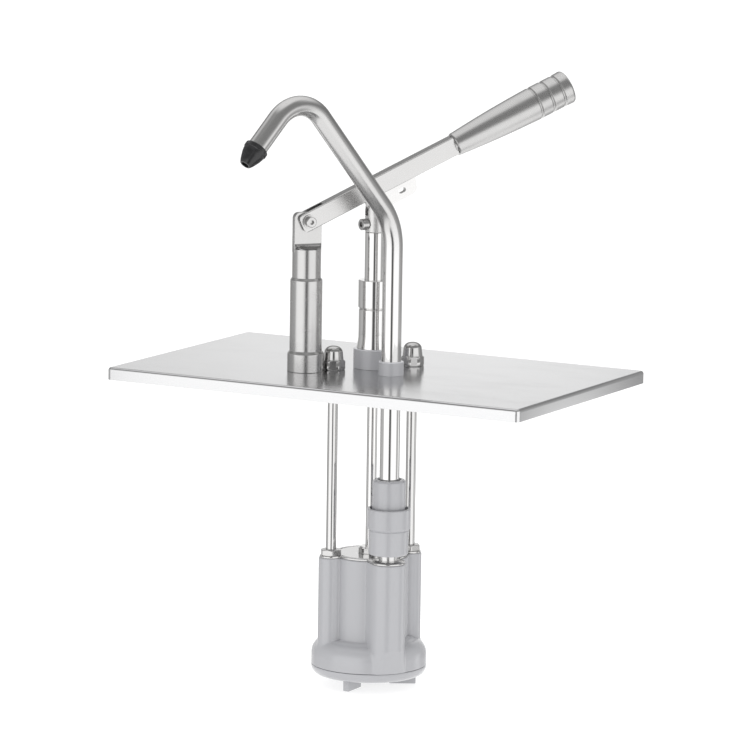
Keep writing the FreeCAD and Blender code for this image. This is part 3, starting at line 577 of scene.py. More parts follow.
def soft_rubber(name):
    """Satin moulded rubber: a paler bloom over black, and fine pits."""
    material, f = new_finish(name)
    p = f.node("ShaderNodeTexCoord", output="Object")
    pits = f.noise(p, 1900.0, 4.0, 0.65)
    bloom = f.noise(p, 240.0, 5.0, 0.6)
    colour = f.blend(bloom.clipped(0.4, 0.75), tuple(finishes().rubber) + (1.0,),
                     shade(finishes().rubber, 2.2))
    f.feed(Base_Color=colour, Roughness=0.15 + bloom * 0.15, Specular_IOR_Level=0.55,
           Normal=f.bump(pits, 0.005 * MM, 0.5))
    return material


# --- the pieces ---
class PumpStep(bpy.types.Operator):
    """One step of the build."""

    bl_options = {"REGISTER", "UNDO"}


class PUMP_OT_lid(PumpStep):
    """Folds the lid: a sheet with eased corners and a turned-down edge."""

    bl_idname = "condiment_pump.lid"
    bl_label = "Lid"

    def execute(self, context):
        low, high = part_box("lid_plate")
        s = sizes()
        length, width = high.x - low.x, high.y - low.y
        centres, units = rounded_box_outline(length, width, s.lid_corner)
        bend, sheet = s.lid_bend, s.sheet
        q = np.linspace(0.0, math.pi / 2, 9)
        top, bottom = high.z, low.z
        inner = bend - sheet
        lip = 0.25 * MM
        w = np.linspace(0.0, math.pi, 7)
        inset = np.concatenate([[bend * 1.4, bend * 1.05], bend - bend * np.sin(q), [0.0, 0.0],
                                lip - lip * np.cos(w[:4]), sheet - lip + lip * np.cos(w[3:][::-1]) * -1,
                                [sheet, sheet], (sheet + inner) - inner * np.cos(q),
                                [bend * 1.05, bend * 1.4]])
        height = np.concatenate([[top, top], top - bend + bend * np.cos(q),
                                 [top - bend * 1.3, bottom + lip * 1.4],
                                 bottom + lip - lip * np.sin(w[:4]), bottom + lip - lip * np.sin(w[3:]),
                                 [bottom + lip * 1.4, top - bend * 1.3], top - bend + inner * np.sin(q),
                                 [top - sheet, top - sheet]])
        reach = s.lid_corner - inset[:, None, None]
        least = 0.2 * MM
        small = np.clip(reach, least, None)
        shift = np.clip(least - reach, 0.0, None)
        rows = centres[None] - np.sign(centres)[None] * shift + units[None] * small
        mid = np.zeros_like(rows[:1])
        rows = np.concatenate([mid, rows, mid])
        height = np.concatenate([height[:1], height, height[-1:]])
        grid = np.concatenate([rows, np.broadcast_to(height[:, None, None], rows.shape[:2] + (1,))], -1)
        make_piece("lid_sheet", [grid], sheet_steel(), "base", ["lid_plate"])
        return {"FINISHED"}


class PUMP_OT_post(PumpStep):
    """Turns the lever post and mills its tongue."""

    bl_idname = "condiment_pump.post"
    bl_label = "Lever post"

    def execute(self, context):
        r = sizes().post_radius / MM
        profile = eased([(0, 0), (10.5, 0), (10.5, 10.4), (r, 12.0, 0.2), (r, 52.9), (8.3, 54.2, 0.2),
                         (8.3, 70.8, 0.15), (0, 70.8)])
        tongue = []
        for a0, ca, ch in ((0, 4.9, 88.5), (90, -4.9, 88.5)):
            t = np.radians(a0 + np.linspace(0.0, 90.0, 8))
            tongue += list(zip(ca + 3.4 * np.cos(t), ch + 3.4 * np.sin(t)))
        tongue += [(-8.3, 69.0), (8.3, 69.0)]
        blade = Axis(POST, -SIDE, ALONG)
        finish = lathe_steel("post steel", POST_AXIS, 0.235, 0.003, 0.22 * MM, 0.86)
        make_piece("lever_post", [turned(POST_AXIS, profile), slab(blade, tongue, 1.9, 0.25),
                                  self.cove(1.0), self.cove(-1.0)], finish, "base", ["fulcrum_post"])
        return {"FINISHED"}

    @staticmethod
    def cove(side, face=1.9, foot=70.8, width=6.2, nose=3.0, reach=8.25):
        """Hollow corner between the tongue and the neck's shoulder: a quarter ellipse from the tongue's face
        to the shoulder's edge, closed behind and below, and run along the tongue as far as the neck lets
        it."""
        q = np.linspace(0.0, math.pi / 2, 13)
        out = np.concatenate([face + width * (1 - np.cos(q)), [face + width, face - 0.6, face - 0.6]])
        up = np.concatenate([foot + nose * (1 - np.sin(q)), [foot - 0.6, foot - 0.6, foot + nose]])
        share = np.array([-1.0, -1.0, -0.9, -0.5, 0.0, 0.5, 0.9, 1.0, 1.0])[:, None]
        wide = np.sqrt(reach ** 2 - out ** 2)[None]
        out, up = np.broadcast_arrays(out[None], up[None] + 0 * share)
        close = np.where(np.arange(len(share)) % (len(share) - 1) == 0, 0.0, 1.0)[:, None]
        out = out.mean() + (out - out.mean()) * close
        up = up.mean() + (up - up.mean()) * close
        wide = wide.mean() + (wide - wide.mean()) * close
        return Axis(POST, UP, SIDE).place(side * out * MM, share * wide * MM, up * MM)


class PUMP_OT_grip(PumpStep):
    """Turns the lever's handle with its rings."""

    bl_idname = "condiment_pump.grip"
    bl_label = "Handle grip"

    def execute(self, context):
        start, end, r0, r1 = 99.0, 176.4, 6.8, 9.8
        t = np.linspace(0.0, 1.0, 15)[1:-1]
        grooves = (153.8, 161.9, 169.6)
        first = grooves[0] - 1.2
        body = [(r0 + (r1 - r0) * x + 0.45 * math.sin(math.pi * x),
                 start + 0.5 + (first - start - 0.5) * x, 0) for x in t]
        corners = [(0, start), (r0, start, 0.7)] + body
        for g in grooves:
            corners += [(r1, g - 0.8, 0.25), (r1 - 0.75, g - 0.4, 0.3), (r1 - 0.75, g + 0.4, 0.3),
                        (r1, g + 0.8, 0.25)]
        corners += [(r1 + 0.25, end - 1.2, 0.5), (r1 - 0.15, end - 0.3, 0.5), (r1 - 1.2, end, 0.4), (0, end)]
        finish = lathe_steel("grip steel", LEVER_AXIS, 0.27, 0.003, 0.2 * MM, 0.83)
        turned_piece("grip", LEVER_AXIS, corners, finish, "lever", "handle_grip", 112)
        return {"FINISHED"}


class PUMP_OT_plunger(PumpStep):
    """Turns the plunger, its guide, the collar and the guide's base."""

    bl_idname = "condiment_pump.plunger"
    bl_label = "Plunger and guide"

    def execute(self, context):
        bright = drawn_steel("plunger steel", PUMP_AXIS, 0.06, 1.2, 0.001)
        rod = sizes().rod_radius / MM
        barrel = [(0, 38.7), (6.4, 38.7), (6.7, 39.0, 0.1), (6.7, 41.7, 0.2), (5.75, 41.7, 0.2),
                  (5.75, 78.8, 0.2), (0, 78.8)]
        turned_piece("plunger_barrel", PUMP_AXIS, barrel, bright, "piston", "plunger")
        thin = [(0, -128.0), (rod, -128.0, 0.4), (rod, 62.4, 0.3), (0, 62.4)]
        turned_piece("pump_rod", PUMP_AXIS, thin, bright, "piston", "piston_rod", 64)
        tube = [(7.0, -16.5), (7.0, 42.0), (7.9, 42.0), (7.9, 34.6, 0.1), (8.3, 34.6, 0.05),
                (8.8, 34.0, 0.1), (8.8, 18.1, 1.5), (9.7, 11.8), (9.7, 11.42, 0.1), (8.8, 11.42, 0.1),
                (8.8, -19.0, 0.4), (3.05, -19.0, 0.2), (3.05, -16.5, 0.2)]
        guide = drawn_steel("guide steel", PUMP_AXIS, 0.08, 1.2, 0.001)
        turned_piece("guide_barrel", PUMP_AXIS, tube, guide, "base", "guide_tube", closed=True, ease=0.2)
        collar = [(7.93, 34.6, 0.1), (8.3, 34.6, 0.05), (9.2, 35.4, 0.1), (9.2, 51.2, 0.35),
                  (5.8, 51.2, 0.2), (5.8, 42.2, 0.1), (7.93, 42.2, 0.1)]
        turned_piece("guide_cap", PUMP_AXIS, collar,
                     drawn_steel("collar steel", PUMP_AXIS, 0.07, 1.2, 0.001), "base", "guide_collar",
                     closed=True)
        # Painted light: the body's grey plastic made 12 % lighter here, a lit copy that stands in for light the
        # ring lacks.
        plastic = moulded_plastic("base ring plastic painted lighter", shade(finishes().plastic, 1.12)[:3])
        foot = [(8.83, 0.0, 0.1), (11.5, 0.0, 0.2), (11.5, 11.1, 0.12), (11.2, 11.4, 0.12),
                (8.83, 11.4, 0.1)]
        turned_piece("guide_foot", PUMP_AXIS, foot, plastic, "base", "guide_base", closed=True)
        return {"FINISHED"}


class PUMP_OT_spring(PumpStep):
    """Winds the return spring at its rest length; the real spring shortens as the plunger goes down."""

    bl_idname = "condiment_pump.spring"
    bl_label = "Return spring"

    def execute(self, context):
        s = sizes()
        wire, coil = s.wire_radius, 5.1 * MM
        low, high = -15.88 * MM, 38.08 * MM
        t = np.linspace(0.0, 1.0, s.spring_turns * 28 + 1)
        a = t * s.spring_turns * 2 * math.pi
        centre = np.stack([coil * np.cos(a), coil * np.sin(a), low + (high - low) * t], 1) + np.array(PUMP)
        out = np.stack([np.cos(a), np.sin(a), 0 * a], 1)[:, None, :]
        v = round_angles(12)[None, :, None]
        r = np.full(len(t), wire)
        r[[0, -1]] = 0.0
        grid = centre[:, None, :] + r[:, None, None] * (np.cos(v) * out + np.sin(v) * np.array(UP))
        piece = make_piece("spring_coil", [grid], drawn_steel("spring steel", PUMP_AXIS, 0.2), "base",
                           ["return_spring"])
        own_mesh(piece)
        return {"FINISHED"}


class PUMP_OT_spout(PumpStep):
    """Bends the spout tube and fits its ferrule."""

    bl_idname = "condiment_pump.spout"
    bl_label = "Spout tube"

    def execute(self, context):
        s = sizes()
        centres, _ = spout_line()
        across = (math.sin(SPOUT_HEADING), -math.cos(SPOUT_HEADING), 0.0)
        outer, inner = s.tube_radius, s.tube_radius - s.tube_wall
        lip = 0.2 * MM
        ends = np.array([outer - lip, outer], float)
        radii = np.concatenate([ends, np.full(len(centres) - 4, outer), ends[::-1]])
        shell = np.concatenate([swept(centres, across, radii, 64),
                                swept(centres, across, np.full(len(centres), inner), 64)[::-1]])
        make_piece("spout_pipe", [shell], spout_steel(), "spout", ["spout_tube"], True)
        ferrule = [(5.8, -2.6, 0.1), (6.6, -2.6, 0.3), (7.25, -1.7, 0.2), (7.25, -1.05, 0.1),
                   (6.85, -1.02, 0.1), (6.85, 0, 0.05), (7.2, 0, 0.1), (7.2, 7.6, 0.15), (6.8, 8.0, 0.15),
                   (5.8, 8.0, 0.1)]
        # Painted light: the body's grey plastic made 10 % lighter here, a lit copy that stands in for light the
        # ferrule lacks.
        plastic = moulded_plastic("ferrule plastic painted lighter", shade(finishes().plastic, 1.1)[:3])
        turned_piece("ferrule", SPOUT_AXIS, ferrule, plastic, "base", "spout_ferrule", closed=True)
        return {"FINISHED"}


def spout_line():
    """Centre line of the spout and its last direction: upright run, first bend, slanting run, second bend
    and drop, each bend a run of points on its circle."""
    heading = np.array([math.cos(SPOUT_HEADING), math.sin(SPOUT_HEADING), 0.0])
    r1, r2 = 36.5, 21.7
    lean, dip = math.radians(41.0), math.radians(45.6)
    mid, drop, low, bend = 71.1, 27.0, -88.2, 73.8
    a = np.linspace(0.0, lean, 26)
    first = np.stack([r1 * (1 - np.cos(a)), bend + r1 * np.sin(a)], 1)
    end = first[-1] + mid * np.array([math.sin(lean), math.cos(lean)])
    b = np.linspace(lean, math.pi / 2 + dip, 46)
    second = np.stack([end[0] + r2 * (math.cos(lean) - np.cos(b)),
                       end[1] + r2 * (np.sin(b) - math.sin(lean))], 1)
    way = np.array([math.cos(dip), -math.sin(dip)])
    foot = np.array([[0.0, low], [0.0, low + 0.4], [0.0, low + 1.0], [0.0, bend - 1.0]])
    straight = np.array([first[-1] + (end - first[-1]) * x for x in (0.02, 0.5, 0.98)])
    tail = second[-1] + way * np.array([1.0, drop - 1.0, drop - 0.4, drop])[:, None]
    flat = np.concatenate([foot, first, straight, second, tail]) * MM
    points = np.array(SPOUT) + flat[:, :1] * heading + flat[:, 1:] * np.array(UP)
    return points, heading * way[0] + np.array(UP) * way[1]


class PUMP_OT_nozzle(PumpStep):
    """Moulds the rubber nozzle on the spout's end."""

    bl_idname = "condiment_pump.nozzle"
    bl_label = "Nozzle"

    def execute(self, context):
        centres, way = spout_line()
        axis = Axis(centres[-1], way)
        profile = [(5.8, -6.0, 0.15), (6.55, -6.0, 0.3), (6.95, -5.6, 0.3), (6.95, -3.4, 0.4),
                   (6.5, -2.9, 0.3), (6.35, -1.6, 0.5), (5.9, 0.2, 0.8), (4.3, 4.4, 0.8), (3.45, 5.9, 0.5),
                   (3.1, 6.4, 0.3), (2.2, 6.4, 0.25), (2.2, 2.4, 0.3), (4.4, 0.3, 0.1), (4.4, 0.05, 0.1),
                   (5.8, 0.05, 0.1)]
        turned_piece("nozzle", axis, profile, soft_rubber("nozzle rubber"), "spout", "nozzle_tip", 80, True)
        return {"FINISHED"}


class PUMP_OT_nuts(PumpStep):
    """Shapes the domed nuts on the lid and the hexagon nuts below it."""

    bl_idname = "condiment_pump.nuts"
    bl_label = "Nuts"

    def execute(self, context):
        corner = 12.0 / 2 / math.cos(math.pi / 6)
        foot = [(0, 0), (corner - 0.5, 0), (corner, 0.5), (corner * 1.04, 1.1), (corner * 1.04, 4.9)]
        shoulder = [(corner + (5.9 - corner) * x, 4.9 + 0.95 * x) for x in np.linspace(0.0, 1.0, 8)]
        cap = [(5.35 * math.cos(t) ** 0.9, 10.2 + 3.7 * math.sin(t))
               for t in np.radians(np.linspace(0.0, 89.9, 17))]
        acorn = np.array(foot + shoulder + [(5.84, 6.0)] + cap) * MM
        acorn[-1, 0] = 0.0
        for name, turn, lock_turn in (("left", 26.0, -17.0), ("right", 38.0, 17.0)):
            axis = Axis(rod_foot(name))
            polished = drawn_steel(f"domed nut steel {name}", axis, 0.10, 0.85)
            make_piece(f"domed_nut_{name}", [hexed(axis, acorn, 12.0, turn)], polished, "base",
                       [f"acorn_nut_{name}"])
            plain = fastener_steel(f"small nut steel {name}", axis)
            for piece, node, low, high, flats, at in (("under_nut", "lock_nut", -6.0, -1.0, 10.4, lock_turn),
                                                      ("rod_nut", "body_nut", -108.8, -105.4, 11.2, 6.3)):
                make_piece(f"{piece}_{name}", [hexed(axis, self.plain_nut(low, high, flats), flats, at)],
                           plain, "base", [f"{node}_{name}"])
        make_piece("big_nut", [hexed(PUMP_AXIS, self.plain_nut(-6.0, -1.0, 23.0), 23.0, 8.0)],
                   moulded_plastic("big nut plastic", finishes().plastic), "base", ["guide_nut"])
        return {"FINISHED"}

    @staticmethod
    def plain_nut(low, high, flats):
        """Profile of a nut whose corners are turned down at both faces, in metres."""
        corner = flats / 2 / math.cos(math.pi / 6)
        cut = corner - flats / 2
        x = np.linspace(0.0, 1.0, 6)
        rise = [(corner - cut + cut * 1.3 * v, low + cut * 0.65 * v) for v in x]
        fall = [(corner + cut * 0.3 - cut * 1.3 * v, high - cut * 0.65 * (1 - v)) for v in x]
        return np.array([(0, low)] + rise + fall + [(0, high)]) * MM


class PUMP_OT_rods(PumpStep):
    """Draws the two tie rods."""

    bl_idname = "condiment_pump.rods"
    bl_label = "Tie rods"

    def execute(self, context):
        r = sizes().rod_radius / MM
        for name in ("left", "right"):
            axis = Axis(rod_foot(name))
            profile = [(0, -137.0), (r, -137.0, 0.4), (r, 9.6, 0.4), (0, 9.6)]
            turned_piece(f"long_rod_{name}", axis, profile,
                         drawn_steel(f"tie rod steel {name}", axis, 0.07, 1.0, 0.002), "base",
                         f"tie_rod_{name}", 64)
        return {"FINISHED"}


class PUMP_OT_coupling(PumpStep):
    """Moulds the coupling between the pump body and the spout tube."""

    bl_idname = "condiment_pump.coupling"
    bl_label = "Coupling"

    def execute(self, context):
        plastic = moulded_plastic("coupling plastic", finishes().plastic)
        cup = [(5.43, -104.35, 0.2), (10.8, -104.35, 0.2), (11.4, -103.75, 0.2), (11.7, -90.36, 0.1),
               (11.4, -90.06, 0.05), (11.7, -89.76, 0.1), (11.7, -89.6, 0.05), (12.65, -88.9, 0.15),
               (12.65, -77.9, 0.1), (12.2, -77.4, 0.1), (11.1, -77.4, 0.1), (11.1, -79.8, 0.1),
               (9.65, -79.8, 0.1), (9.65, -84.2, 0.1), (8.0, -84.2, 0.1), (8.0, -89.4, 0.1),
               (5.3, -89.4, 0.1), (5.3, -97.9, 0.1), (5.43, -97.9, 0.05)]
        sleeve = [(5.8, -84.1, 0.1), (9.55, -84.1, 0.15), (9.55, -61.9, 0.3), (8.6, -60.7, 0.3),
                  (7.0, -60.7, 0.15), (6.6, -61.5, 0.2), (5.8, -61.5, 0.1)]
        turned_piece("coupling_cup", SPOUT_AXIS, cup, plastic, "base", "coupling_lower", closed=True)
        turned_piece("coupling_neck", SPOUT_AXIS, sleeve, plastic, "base", "coupling_sleeve", closed=True)
        return {"FINISHED"}


def lobed_radius(t, grow=0.0, crisp=60.0):
    """How far the pump body's plan outline is from its middle at angle t, in millimetres: the softened
    largest of the barrel's circle, the two rod lobes and the outlet boss. A circle with its centre at
    distance d and angle c is met at d cos(t - c) + the root of r * r - (d sin(t - c)) squared. The boss's
    straight neck of half width w is met at w over sin of the angle from its own direction."""
    barrel, lobe, boss_r, lobe_at = 22.5 + grow, 7.1 + grow, 10.3 + grow, 24.5
    reach = [np.full_like(t, barrel)]

    def circle(distance, at, r):
        across = distance * np.sin(t - at)
        inside = np.clip(r * r - across ** 2, 0.0, None)
        hit = distance * np.cos(t - at) + np.sqrt(inside)
        return np.where((inside > 0) & (np.cos(t - at) > 0), hit, 0.1)

    line = math.atan2(ALONG.y, ALONG.x)
    to_spout = SPOUT - PUMP
    boss = math.atan2(to_spout.y, to_spout.x)
    far = to_spout.length / MM
    reach += [circle(lobe_at, line, lobe), circle(lobe_at, line + math.pi, lobe),
              circle(far, boss, boss_r)]
    gap = np.abs(np.sin(t - boss))
    neck = np.where(np.cos(t - boss) > 0, boss_r / np.clip(gap, 1e-6, None), 0.1)
    reach.append(np.where(neck * np.cos(t - boss) < far, neck, 0.1))
    return np.sum(np.stack(reach) ** crisp, axis=0) ** (1 / crisp)


class PUMP_OT_body(PumpStep):
    """Moulds the pump body: a barrel with two rod lobes and an outlet boss that runs down into a bell."""

    bl_idname = "condiment_pump.body"
    bl_label = "Pump body"

    def execute(self, context):
        t = round_angles(360)[None, :]
        top, parting, bell_top, bell_r, bend = -110.0, -174.0, -157.0, 33.5, 9.0
        q = np.linspace(0.0, math.pi / 2, 6)
        z = np.concatenate([top - 0.7 * (1 - np.cos(q)), [top - 1.2],
                            np.linspace(top - 4, bell_top + 1.0, 12),
                            np.linspace(bell_top + 0.5, bell_top - 12.0, 80), [parting + 3.0, parting + 0.5],
                            parting + 0.3 - 0.3 * np.sin(q)])[:, None]
        trim = np.concatenate([0.7 * (1 - np.sin(q)), np.zeros(len(z) - 12),
                               0.3 * (1 - np.cos(q))])[:, None]
        lobes = lobed_radius(t) + 0 * z
        keep = np.interp(-z, [-(bell_top + 2), -(bell_top - 4), -parting],
                         [60.0, bell_r + 5.2, bell_r + 0.8])
        drop = (bell_top - 11.0 + bend * math.sin(math.radians(75.0))) - z
        ring = np.sqrt(np.clip(bend ** 2 - np.clip(z - (bell_top - 11.0), 0.0, bend) ** 2, 0.0, None))
        bell = np.where(drop < 0, np.interp(-z, [-(bell_top - 1.0), -(bell_top - 1.2), -(bell_top - 2.3)],
                                            [18.0, 25.0, 26.8]), bell_r - bend + ring)
        bell = np.where(z > bell_top - 0.9, 1.0, bell) + 0 * t
        lobes = (lobes ** -50.0 + keep ** -50.0) ** (-1 / 50.0)
        rho = (lobes ** 45.0 + bell ** 45.0) ** (1 / 45.0) - trim
        outside = PUMP_AXIS.place(rho * np.cos(t) * MM, rho * np.sin(t) * MM, (z + 0 * t) * MM)
        first, last = rho[:1], rho[-1:]
        bore = np.array([[25.85, parting], [25.85, -168.0], [20.0, -168.0], [20.0, top]])
        r_in = bore[:, :1] + 0 * t
        z_in = bore[:, 1:] + 0 * t
        inside = PUMP_AXIS.place(r_in * np.cos(t) * MM, r_in * np.sin(t) * MM, z_in * MM)
        near_top = PUMP_AXIS.place((first - 0.3) * np.cos(t) * MM, (first - 0.3) * np.sin(t) * MM,
                                   (top + 0 * t) * MM)
        near_low = PUMP_AXIS.place((last - 0.2) * np.cos(t) * MM, (last - 0.2) * np.sin(t) * MM,
                                   (parting + 0 * t) * MM)
        grid = np.concatenate([near_top, outside, near_low, inside])
        make_piece("body_moulding", [grid], moulded_plastic("body plastic", finishes().plastic), "base",
                   ["pump_body"], True)
        rings = np.array([[5.55, 0.0], [9.0, 0.0], [18.9, 0.0], [19.1, 0.0], [19.3, -0.35], [19.8, -0.35],
                          [20.0, 0.0], [20.2, 0.0]])[:, :, None]
        rim = lobed_radius(t, -0.5)
        plate_r = np.concatenate([0 * t + 5.55, rim - 0.25, rim, rim, rim - 0.15,
                                  rings[::-1, 0] + 0 * t, 0 * t + 5.55])
        plate_z = np.concatenate([[0.0, 0.0, 0.25, 1.05, 1.2], 1.2 + rings[::-1, 1, 0],
                                  [0.9]])[:, None] + top
        cover = PUMP_AXIS.place(plate_r * np.cos(t) * MM, plate_r * np.sin(t) * MM, (plate_z + 0 * t) * MM)
        make_piece("cover_plate", [cover], drawn_steel("cover steel", PUMP_AXIS, 0.14, 0.9), "base",
                   ["body_cover"], True)
        return {"FINISHED"}


class PUMP_OT_base_cap(PumpStep):
    """Moulds the base cap with its three ribs and the inlet."""

    bl_idname = "condiment_pump.base_cap"
    bl_label = "Base cap"

    def execute(self, context):
        arc = [(28.7 + 4.8 * math.cos(a), -175.2 + 4.8 * math.sin(a), 0)
               for a in np.radians(np.linspace(-6.0, -84.0, 9))]
        profile = eased([(9.33, -168.0, 0.1), (25.3, -168.0, 0.2), (25.8, -168.5, 0.2), (25.8, -169.6, 0.1),
                         (24.1, -169.6, 0.1), (24.1, -171.9, 0.1), (25.8, -171.9, 0.1), (25.8, -174.25, 0.1),
                         (33.2, -174.25, 0.15), (33.5, -174.5, 0.15)] + arc +
                        [(28.0, -180.0, 0), (6.0, -180.0, 0.4), (6.0, -173.0, 0.1), (9.33, -173.0, 0.1)],
                        closed=True)
        grids = [turned(PUMP_AXIS, profile, 128)]
        for i in range(3):
            a = math.radians(30.0 + 120.0 * i)
            way = Vector((math.cos(a), math.sin(a), 0.0))
            middle = PUMP + way * (19.75 * MM) - UP * (181.6 * MM)
            grids.append(slab(Axis(middle, -UP, way), self.blunt_bar(15.5, 3.8, 0.6), 4.6, 0.3))
        make_piece("foot_cap", grids, moulded_plastic("base cap plastic", finishes().plastic), "base",
                   ["base_cap"], [True, False, False, False])
        return {"FINISHED"}

    @staticmethod
    def blunt_bar(length, width, corner):
        """Outline of a bar with small round corners, from the quarter turns about each corner's centre."""
        centres, units = rounded_box_outline(length, width, corner, 5)
        return centres + units * corner


class PUMP_OT_small_parts(PumpStep):
    """Gives the remaining frame pieces their finishes."""

    bl_idname = "condiment_pump.small_parts"
    bl_label = "Small parts"

    def execute(self, context):
        across = Axis(PIVOT, SIDE, UP)
        bar = drawn_steel("lever bar steel", LEVER_AXIS, 0.27, 0.94, 0.008)
        yoke = drawn_steel("yoke steel", LEVER_AXIS, 0.24, 1.13, 0.006)
        fork = drawn_steel("fork steel", PUMP_AXIS, 0.42, 1.2, 0.02)
        screw = fastener_steel("pivot screw steel", across)
        bolt = fastener_steel("post bolt steel", POST_AXIS)
        clamp = fastener_steel("clamp screw steel", Axis(PUMP + UP * (83.6 * MM), (-0.4848, -0.8746, 0.0)))
        inner = lathe_steel("piston steel", PUMP_AXIS, 0.25, 0.01, 0.5 * MM)
        stub = lathe_steel("outlet stub steel", SPOUT_AXIS, 0.2, 0.01, 0.5 * MM)
        white = moulded_plastic("white plastic", (0.78, 0.78, 0.76))
        gland = drawn_steel("gland steel", PUMP_AXIS, 0.12, 1.1)
        seat = fastener_steel("seat steel", PUMP_AXIS)
        rubber = soft_rubber("seal rubber")
        plan = {
            "lever_bar": bar, "lever_yoke": yoke, "handle_stud": bar, "clevis_fork": fork,
            "pivot_bolt": screw, "pivot_nut": screw, "pivot_washer_front": screw, "pivot_washer_back": screw,
            "fork_pin": screw, "fork_clip": screw, "fork_clamp_screw": clamp,
            "post_bolt": bolt, "post_washer": bolt, "piston_nut": inner, "piston_collar": inner,
            "outlet_stub": stub, "outlet_ball": stub, "inlet_ball": inner, "rod_gland": gland,
            "piston": white, "inlet_seat": seat, "inlet_cage": white,
            "ball_stop": fastener_steel("ball stop steel", SPOUT_AXIS),
            "piston_seal": rubber, "cap_seal": rubber, "tube_seal": rubber,
        }
        for node, finish in plan.items():
            coat_node(node, finish)
        return {"FINISHED"}


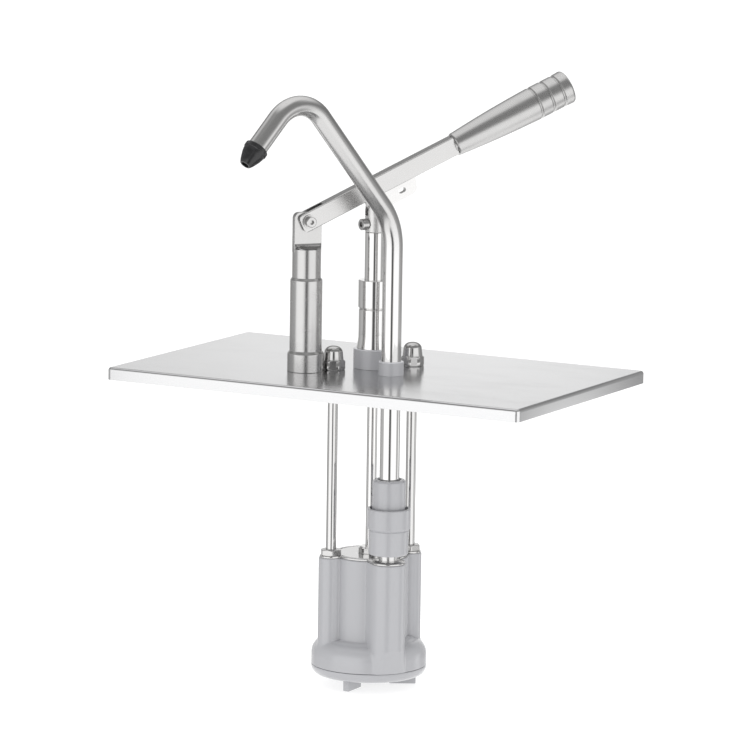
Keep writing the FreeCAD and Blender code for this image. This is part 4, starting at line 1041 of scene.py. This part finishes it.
# --- the stage ---
class PUMP_OT_stage(PumpStep):
    """Lays the floor and sets the lights and the camera."""

    bl_idname = "condiment_pump.stage"
    bl_label = "Floor, lights and camera"

    def execute(self, context):
        s = studio()
        scene = bpy.context.scene
        scene.view_settings.view_transform = "Standard"
        self.lay_floor(s)
        self.set_camera(s)
        self.set_world(s)
        self.set_lights(s)
        return {"FINISHED"}

    def lay_floor(self, s):
        """Pale floor just under the pump, out of sight of gloss, so that the rods mirror the tent there."""
        low = CAD_BOX[0][2] - 0.4 * MM
        r = 30.0
        mesh = bpy.data.meshes.new("floor")
        mesh.from_pydata([(-r, -r, low), (r, -r, low), (r, r, low), (-r, r, low)], [], [(0, 1, 2, 3)])
        material, f = new_finish("floor paint")
        p = f.node("ShaderNodeTexCoord", output="Object")
        tooth = f.noise(p, 900.0, 2.0)
        f.feed(Base_Color=tuple(s.floor) + (1.0,), Roughness=0.6 + tooth * 0.1, Specular_IOR_Level=0.2,
               Emission_Color=(1.0, 1.0, 1.0, 1.0), Emission_Strength=s.floor_glow)
        mesh.materials.append(material)
        floor = bpy.data.objects.new("floor", mesh)
        floor.visible_glossy = False
        bpy.context.scene.collection.objects.link(floor)

    def set_camera(self, s):
        back = Vector((math.sin(s.yaw) * math.cos(s.pitch), -math.cos(s.yaw) * math.cos(s.pitch),
                       math.sin(s.pitch)))
        right = Vector((math.cos(s.yaw), math.sin(s.yaw), 0.0))
        up = back.cross(right)
        r = right * math.cos(s.roll) + up * math.sin(s.roll)
        u = up * math.cos(s.roll) - right * math.sin(s.roll)
        aim_right, aim_up = -1.0008 * MM, -3.5441 * MM
        place = back * s.distance + r * aim_right + u * aim_up + UP * LID_TOP
        lens = bpy.data.cameras.new("camera")
        lens.lens = s.lens
        lens.sensor_width = 36.0
        lens.clip_start, lens.clip_end = 0.05, 60.0
        camera = bpy.data.objects.new("camera", lens)
        camera.matrix_world = Matrix((r, u, back)).transposed().to_4x4()
        camera.location = place
        bpy.context.scene.collection.objects.link(camera)
        bpy.context.scene.camera = camera

    def set_world(self, s):
        """White to the camera and a plain pale room to the dull surfaces; gloss mirrors the tent instead."""
        world = bpy.data.worlds.new("room")
        world.use_nodes = True
        bpy.context.scene.world = world
        f = Finish(world.node_tree)
        ray = f.node("ShaderNodeLightPath", output="Is Camera Ray")
        colour = f.blend(ray, (s.room, s.room, s.room, 1.0), (1.0, 1.0, 1.0, 1.0))
        background = world.node_tree.nodes["Background"]
        f.tree.links.new(colour.socket, background.inputs["Color"])
        background.inputs["Strength"].default_value = 1.0
        world.cycles_visibility.glossy = False

    def set_lights(self, s):
        """A tent of pale cloth and cards round the pump, closed by a dome above and a pale sheet below. Its
        tone follows the angle from the camera at the height of the pump, with one bright card low at the
        side. Above that it fades to the dome's tones, which follow the height angle, in front and behind.
        Only gloss sees the tent. The dull surfaces are lit by the room and a soft lamp."""
        columns = np.linspace(-180.0, 180.0, 361)[:-1]
        cap = np.radians(np.linspace(4.0, 89.0, 18))
        radius = np.concatenate([[0.001, 0.5], np.full(9, 1.0), np.cos(cap)]) * s.tent
        height = np.concatenate([[-0.37, -0.37, -0.36, -0.29, -0.14, -0.05, 0.0, 0.05, 0.10, 0.15, 0.25],
                                 0.25 + s.tent * np.sin(cap)])
        a, z = np.meshgrid(columns, height)
        r = radius[:, None] + 0 * a
        rise = np.degrees(np.arctan2(z - 0.1, r))
        card = np.interp(a, *np.array(TENT).T)
        end_card = np.clip(1.5 - np.abs(a - 112.0) / 8.0, 0.0, 1.0) * np.clip((-0.05 - z) / 0.04, 0.0, 1.0)
        card = card + (1.45 - card) * end_card
        front = np.interp(rise, *np.array(DOME_FRONT).T)
        rear = np.interp(rise, *np.array(DOME_REAR).T)
        behind = np.clip((np.abs(a) - 75.0) / 40.0, 0.0, 1.0)
        dome = front * (1 - behind) + rear * behind
        card = card + (1.35 - card) * np.clip((-0.29 - z) / 0.07, 0.0, 1.0)
        fade = (np.clip((rise - 2.0) / 12.0, 0.0, 1.0) * (1 - behind)
                + np.clip((rise - 8.0) / 5.0, 0.0, 1.0) * behind)
        tone = card * (1 - fade) + dome * fade
        turn = np.radians(a) + s.yaw - math.pi / 2
        grid = np.stack([r * np.cos(turn), r * np.sin(turn), z], -1)
        mesh = bpy.data.meshes.new("light_tent")
        mesh.from_pydata(grid.reshape(-1, 3).tolist(), [], grid_faces(*grid.shape[:2]).tolist())
        tones = mesh.attributes.new("tone", "FLOAT", "POINT")
        tones.data.foreach_set("value", tone.astype(np.float32).ravel())
        material, f = new_finish("tent cloth")
        value = f.node("ShaderNodeAttribute", {"attribute_name": "tone"}, output="Fac")
        f.feed(Base_Color=(0.0, 0.0, 0.0, 1.0), Roughness=1.0, Specular_IOR_Level=0.0,
               Emission_Color=f.vector(value, value, value), Emission_Strength=1.0)
        mesh.materials.append(material)
        tent = bpy.data.objects.new("light_tent", mesh)
        bpy.context.scene.collection.objects.link(tent)
        tent.visible_camera = tent.visible_diffuse = tent.visible_shadow = False
        lamp = bpy.data.lights.new("top_light", "AREA")
        lamp.shape = "DISK"
        lamp.size = 1.3
        lamp.energy = s.top_light
        holder = bpy.data.objects.new("top_light", lamp)
        holder.location = (0.0, 0.0, 1.0)
        holder.visible_camera = holder.visible_glossy = False
        bpy.context.scene.collection.objects.link(holder)


TENT = ((-180, 1.04), (-172, 1.00), (-160, 0.86), (-150, 0.66), (-138, 0.44), (-128, 0.40), (-118, 0.52),
        (-80, 0.62), (-70, 1.48), (-28, 1.52), (-14, 1.25), (-8, 0.12), (6, 0.12), (14, 1.15), (24, 1.42),
        (70, 1.42), (80, 0.58), (110, 0.42), (135, 0.38), (150, 0.55), (165, 1.02), (172, 1.06), (180, 1.06))
DOME_FRONT = ((0, 1.2), (10, 0.7), (22, 0.34), (60, 0.34), (74, 1.15), (90, 1.2))
DOME_REAR = ((8, 0.9), (13, 0.28), (28, 0.30), (44, 1.0), (65, 1.15), (90, 1.2))


class PUMP_PT_panel(bpy.types.Panel):
    """Lists the pump's pieces."""

    bl_idname = "PUMP_PT_panel"
    bl_label = "Condiment pump"
    bl_space_type = "VIEW_3D"
    bl_region_type = "UI"
    bl_category = "Condiment pump"

    def draw(self, context):
        for step in STEPS:
            self.layout.operator(step.bl_idname, text=step.bl_label)


GROUPS = {"pump_sizes": PumpSizes, "pump_finishes": PumpFinishes, "pump_studio": PumpStudio}
STEPS = (PUMP_OT_lid, PUMP_OT_post, PUMP_OT_grip, PUMP_OT_plunger, PUMP_OT_spring, PUMP_OT_spout,
         PUMP_OT_nozzle, PUMP_OT_nuts, PUMP_OT_rods, PUMP_OT_coupling, PUMP_OT_body, PUMP_OT_base_cap,
         PUMP_OT_small_parts, PUMP_OT_stage)


def register():
    for kind in (*GROUPS.values(), *STEPS, PUMP_PT_panel):
        bpy.utils.register_class(kind)
    for name, kind in GROUPS.items():
        setattr(bpy.types.Scene, name, PointerProperty(type=kind))


def unregister():
    for name in GROUPS:
        delattr(bpy.types.Scene, name)
    for kind in reversed((*GROUPS.values(), *STEPS, PUMP_PT_panel)):
        bpy.utils.unregister_class(kind)


def main():
    register()
    for step in STEPS:
        getattr(bpy.ops.condiment_pump, step.bl_idname.split(".")[1])()


if __name__ == "__main__":
    main()
